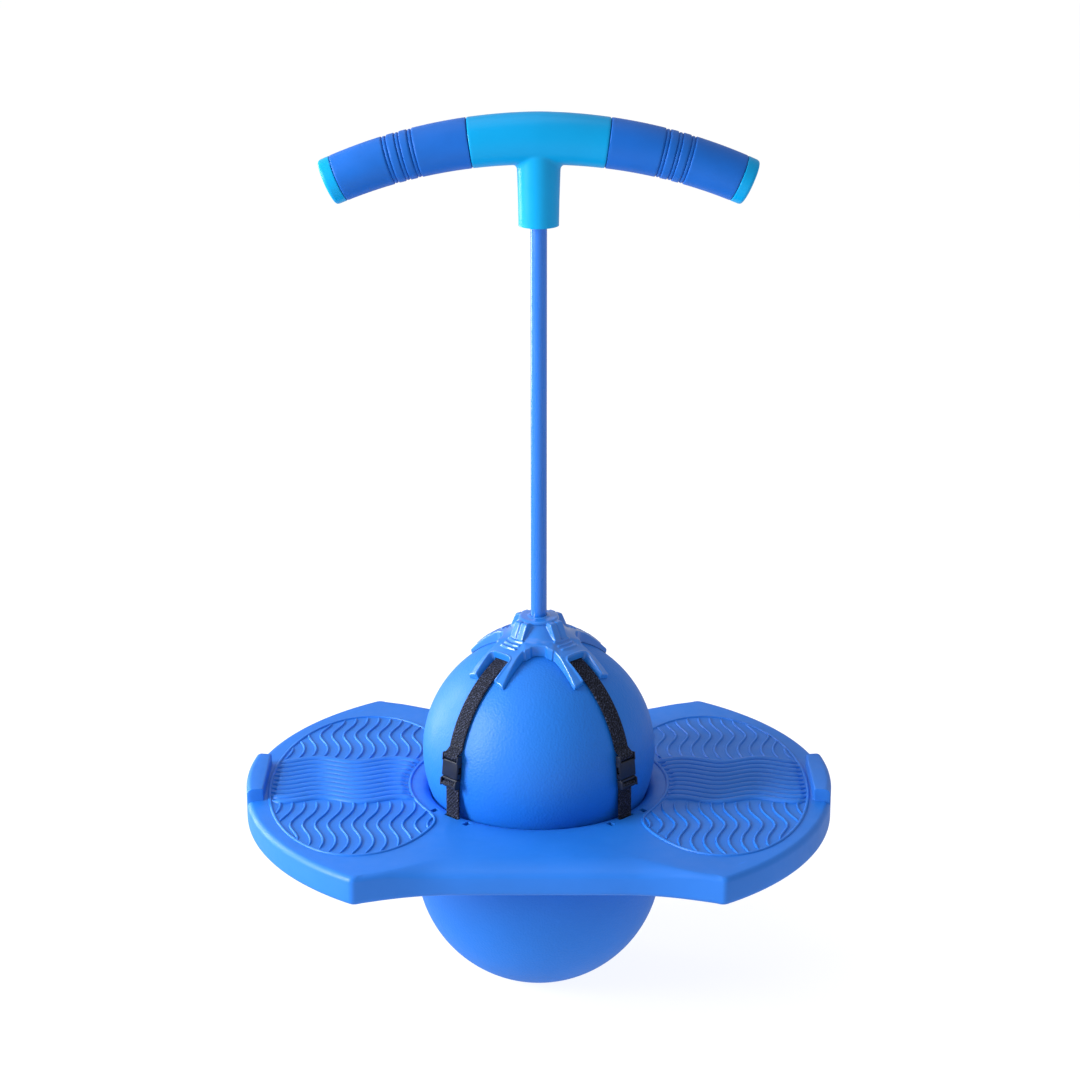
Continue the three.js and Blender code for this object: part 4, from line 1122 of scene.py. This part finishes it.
def make_cap(name, side):
    """The plug in an end of the bar, with the rounded cap that shows."""
    start, end = BAR_HALF - CAP_LENGTH, BAR_HALF
    rim = bar_radius(end)
    profile = [(TINY, start - 14), (9.9, start - 14), (10.9, start - 12.5), (10.9, start)]
    profile += [(bar_radius(start) - 0.5, start), (bar_radius(start), start + 0.5), (rim, end - 2.4)]
    profile += [(rim - 0.7, end - 0.7), (rim - 2.6, end), (TINY, end)]
    smooth = [(r, side * s) for r, s in rounded(profile, 1.0, 4)]
    obj = mesh_object(name + "_plug", along_bar(smooth, 72))
    show(obj, CYAN, "frame", "handle_plastic", name, sharp=40)


# ---- the straps


def on_buckle(s):
    """A point on the buckle's middle plane, as (radius, height)."""
    return BUCKLE_R - s * math.sin(BUCKLE_LEAN), BUCKLE_Z + s * math.cos(BUCKLE_LEAN)


def buckle_matrix(azimuth):
    """The buckle's frame, for a mesh in metres: +Z up it, +X off the ball, +Y across the webbing."""
    stand = Matrix.Translation((BUCKLE_R, 0, BUCKLE_Z)) @ Matrix.Rotation(-BUCKLE_LEAN, 4, "Y")
    made = turn_about(azimuth) @ stand
    made.translation *= MM
    return made


def ribbon(name, path, azimuth):
    """Webbing along a path of (radius, height) points, with soft edges and its own weave coordinates."""
    path = np.asarray(path)
    side = -left_of(np.gradient(path, axis=0))
    half, thick = WEB_WIDTH / 2, WEB_THICK / 2
    across = np.linspace(-half + 0.7, half - 0.7, 13)
    section = [(y, 1.0) for y in across] + [(half - 0.2, 0.7), (half, 0.0), (half - 0.2, -0.7)]
    section += [(y, -1.0) for y in across[::-1]] + [(-half + 0.2, -0.7), (-half, 0.0), (-half + 0.2, 0.7)]
    rings, web = [], []
    for (r, z), out, s in zip(path, side, run_length(path)):
        rings.append([(r + out[0] * thick * up, y, z + out[1] * thick * up) for y, up in section])
        web += [(s, y + (0.4 * up), 0.0) for y, up in section]
    obj = mesh_object(name, moved(loft(rings), turn_about(azimuth)))
    attribute = obj.data.attributes.new("web", "FLOAT_VECTOR", "POINT")
    attribute.data.foreach_set("vector", np.array(web, np.float32).ravel())
    return obj


def circle_points(centre, radius, start, stop, steps):
    """Points round a bar, angles in degrees from +radius towards +height."""
    angle = np.radians(np.linspace(start, stop, steps))
    return [(centre[0] + radius * math.cos(a), centre[1] + radius * math.sin(a)) for a in angle]


def make_upper_strap(place, azimuth):
    """Webbing from under the claw, over the ball and round the buckle's upper bar."""
    bar = on_buckle(UPPER_BAR)
    polar = math.degrees(math.atan2(bar[0], bar[1] - UPPER_Z))
    over = arc((0, UPPER_Z), WEB_RADIUS, 15, polar - 2.2, 44)
    loop = circle_points(bar, WEB_LOOP, 70, -160, 20)
    obj = ribbon("webbing_top_" + place, smooth_path([*over[:-1], *loop], 1.2), azimuth)
    show(obj, WEB, "frame", "webbing", "upper_strap_" + place, sharp=60)
    stitches(place, azimuth, polar)


def stitches(place, azimuth, polar):
    """Two rows of stitches across the webbing, where its end is sewn down above the buckle."""
    stitch = block((-0.22, -0.55, -0.3), (0.22, 0.55, 0.2), 0.12)
    parts = []
    for row in (4.4, 6.6):
        for k in range(7):
            aside = Matrix.Translation((0, 1.7 * (k - 3), 0))
            parts.append(moved(stitch, on_dome(WEB_RADIUS + WEB_THICK / 2, polar - row) @ aside))
    obj = mesh_object("stitches_" + place, moved(joined(parts), turn_about(azimuth)))
    show(obj, THREAD, "frame", "webbing", sharp=50)


def make_lower_strap(place, azimuth):
    """Webbing from the buckle's lower bar straight down through the deck, looped round its anchor."""
    anchor = (ANCHOR_R, ANCHOR_Z)
    top = circle_points(on_buckle(LOWER_BAR), WEB_LOOP, -150, 180, 20)
    bottom = [*circle_points(anchor, 3.1, 180, 330, 11), *circle_points(anchor, 3.1, 350, 500, 9)]
    (r0, z0), (r1, z1) = top[-1], bottom[0]
    down = [(r0 + (r1 - r0) * t, z0 + (z1 - z0) * t) for t in (0.1, 0.35, 0.6, 0.9)]
    obj = ribbon("webbing_low_" + place, smooth_path([*top, *down, *bottom], 1.5), azimuth)
    show(obj, WEB, "strap_" + place, "webbing", "lower_strap_" + place, sharp=60)


def web_bar(s, root, front):
    """A bar across the buckle for the webbing, and the two ears that hold it."""
    parts = [moved(rod(1.5, -8.6, 8.6, 24), laid_at(0, s))]
    low, high = min(root, s - 2.0), max(root, s + 2.0)
    for side in (-1, 1):
        y = sorted((side * 7.75, side * BUCKLE_HALF))
        parts.append(block((-1.9, y[0], low), (front, y[1], high), 0.5, 3))
    return parts


def make_female(place, azimuth):
    """The buckle's socket: a hollow shell with side windows and a webbing bar on top."""
    shell = block((-2.7, -BUCKLE_HALF, -6.3), (2.7, BUCKLE_HALF, 8.6), 1.0, 3)
    obj = mesh_object("socket_" + place, shell)
    cut(obj, block((-1.7, -8.0, -8), (1.7, 8.0, 6.2), 0.3), block((-1.7, -12, -1.5), (1.7, 12, 4.5), 0.5))
    add(obj, *web_bar(UPPER_BAR, 7.2, 3.3))
    obj.data.transform(buckle_matrix(azimuth))
    show(obj, BUCKLE, "frame", "buckle_plastic", "buckle_female_" + place, sharp=35)


def make_male(place, azimuth):
    """The buckle's plug: a base, a guide, two barbed prongs, a webbing bar and a thin bar before it."""
    top, half = PLUG_TOP, 8.9
    obj = mesh_object("plug_" + place, block((-2.5, -half, top - 2.2), (2.5, half, top), 0.6, 3))
    add(obj, block((-1.2, -1.2, top - 1), (1.2, 1.2, 3.2), 0.5))
    outline = [(5.2, top - 1), (7.2, top - 1), (7.2, -0.6), (7.9, -0.2)]
    outline += [(7.9, 1.6), (6.6, 4.2), (5.2, 3.6)]
    for side in (-1, 1):
        smooth = rounded(outline, 0.5, 2, closed=True)
        add(obj, loft([[(x, side * y, z) for y, z in smooth] for x in (-1.4, 1.4)]))
    front_bar = block((3.25, -half, LOWER_BAR - 0.8), (4.0, half, LOWER_BAR + 0.8), 0.3)
    add(obj, *web_bar(LOWER_BAR, top - 1, 4.0), front_bar)
    obj.data.transform(buckle_matrix(azimuth))
    show(obj, BUCKLE, "strap_" + place, "buckle_plastic", "buckle_male_" + place, sharp=35)


def make_anchor(place, azimuth):
    """The bar under the deck that the webbing loops round, with its two pegs."""
    bar = moved(rod(2.0, -21.6, 21.6, 32, 0.8), laid_at(ANCHOR_R, ANCHOR_Z))
    obj = mesh_object("anchor_" + place, bar)
    for y in (-PEG_Y, PEG_Y):
        add(obj, block((100.7, y - 2.1, ANCHOR_Z - 1.5), (104.9, y + 2.1, 171), 0.4))
    obj.data.transform(turn_about(azimuth))
    show(obj, BUCKLE, "strap_" + place, "buckle_plastic", "strap_anchor_" + place, sharp=35)


# ---- hidden hardware


def dress_hardware():
    """The CAD's own bolt, washer and insert keep their shapes and get a steel finish."""
    for node in ("hub_bolt", "hub_washer", "tube_insert"):
        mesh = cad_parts[node].data
        mesh.materials.clear()
        mesh.materials.append(STEEL)


# ---- stage, light and camera


def make_floor():
    """A plain white floor with a glow of its own, so that shadows stay soft. It is clear from below."""
    mesh = bpy.data.meshes.new("floor")
    mesh.from_pydata([(-9, -9, 0), (9, -9, 0), (9, 9, 0), (-9, 9, 0)], [], [(0, 1, 2, 3)])
    floor = placed("floor", mesh)
    glow = {"Emission_Color": (1, 1, 1, 1), "Emission_Strength": FLOOR_GLOW}
    f = Finish("floor_white", 0.9, Specular_IOR_Level=0.1, **glow)
    f.colour(f.ramp(f.noise(3.0), [(0.3, (0.21, 0.21, 0.21, 1)), (0.7, (0.23, 0.23, 0.23, 1))]))
    below = f.node("ShaderNodeNewGeometry").outputs["Backfacing"]
    clear = f.node("ShaderNodeBsdfTransparent").outputs["BSDF"]
    surface = f.chosen(below, f.shader.outputs["BSDF"], clear)
    f.link(surface, f.tree.nodes["Material Output"].inputs["Surface"])
    mesh.materials.append(f.material)
    floor.visible_glossy = False


def area_light(name, place, size, power):
    """A white lamp that points at the middle of the object."""
    data = bpy.data.lights.new(name, "AREA")
    data.shape, data.size, data.size_y = "RECTANGLE", size[0], size[1]
    data.energy = power
    lamp = placed(name, data)
    lamp.location = place
    aim = Vector((0, 0, 0.3)) - Vector(place)
    lamp.rotation_euler = aim.to_track_quat("-Z", "Y").to_euler()


def make_world():
    """A white tent, brighter on the left than on the right, and pure white where the camera sees it."""
    world = bpy.data.worlds.new("studio")
    w = Nodes(world)
    tent, plain = w.tree.nodes["Background"], w.node("ShaderNodeBackground")
    tent.inputs["Color"].default_value = plain.inputs["Color"].default_value = (1, 1, 1, 1)
    split = w.node("ShaderNodeSeparateXYZ")
    w.link(w.node("ShaderNodeTexCoord").outputs["Generated"], split.inputs[0])
    w.link(w.spread(split.outputs["X"], TENT_LEFT, TENT_RIGHT, -0.9, 0.9), tent.inputs["Strength"])
    seen = w.node("ShaderNodeLightPath").outputs["Is Camera Ray"]
    surface = w.chosen(seen, tent.outputs[0], plain.outputs[0])
    w.link(surface, w.tree.nodes["World Output"].inputs["Surface"])
    bpy.context.scene.world = world


def make_light():
    area_light("key_left", (-2.2, -0.75, 1.1), (1.0, 1.4), KEY_POWER)
    area_light("top", (-0.3, 0.2, 2.6), (1.6, 1.2), TOP_POWER)
    area_light("rim_left", (-2.1, 1.3, 0.7), (0.8, 1.8), RIM_POWER)
    make_world()


def make_camera():
    data = bpy.data.cameras.new("camera")
    data.lens, data.sensor_width = 90, 36
    camera = placed("camera", data)
    camera.location = (0.001, -2.1313, 1.0953)
    camera.rotation_euler = (math.radians(90 - 18.25), 0, 0)
    bpy.context.scene.camera = camera


make_camera()
make_light()
make_floor()
make_ball()
make_valve()
make_deck()
make_claw()
make_tube()
make_handle()
for grip_side, grip_name in ((-1, "left"), (1, "right")):
    make_grip("grip_" + grip_name, grip_side)
    make_cap("end_cap_" + grip_name, grip_side)
for strap_place, strap_azimuth in PLACES.items():
    make_upper_strap(strap_place, strap_azimuth)
    make_lower_strap(strap_place, strap_azimuth)
    make_female(strap_place, strap_azimuth)
    make_male(strap_place, strap_azimuth)
    make_anchor(strap_place, strap_azimuth)
dress_hardware()
bpy.context.scene.view_settings.view_transform = "Standard"
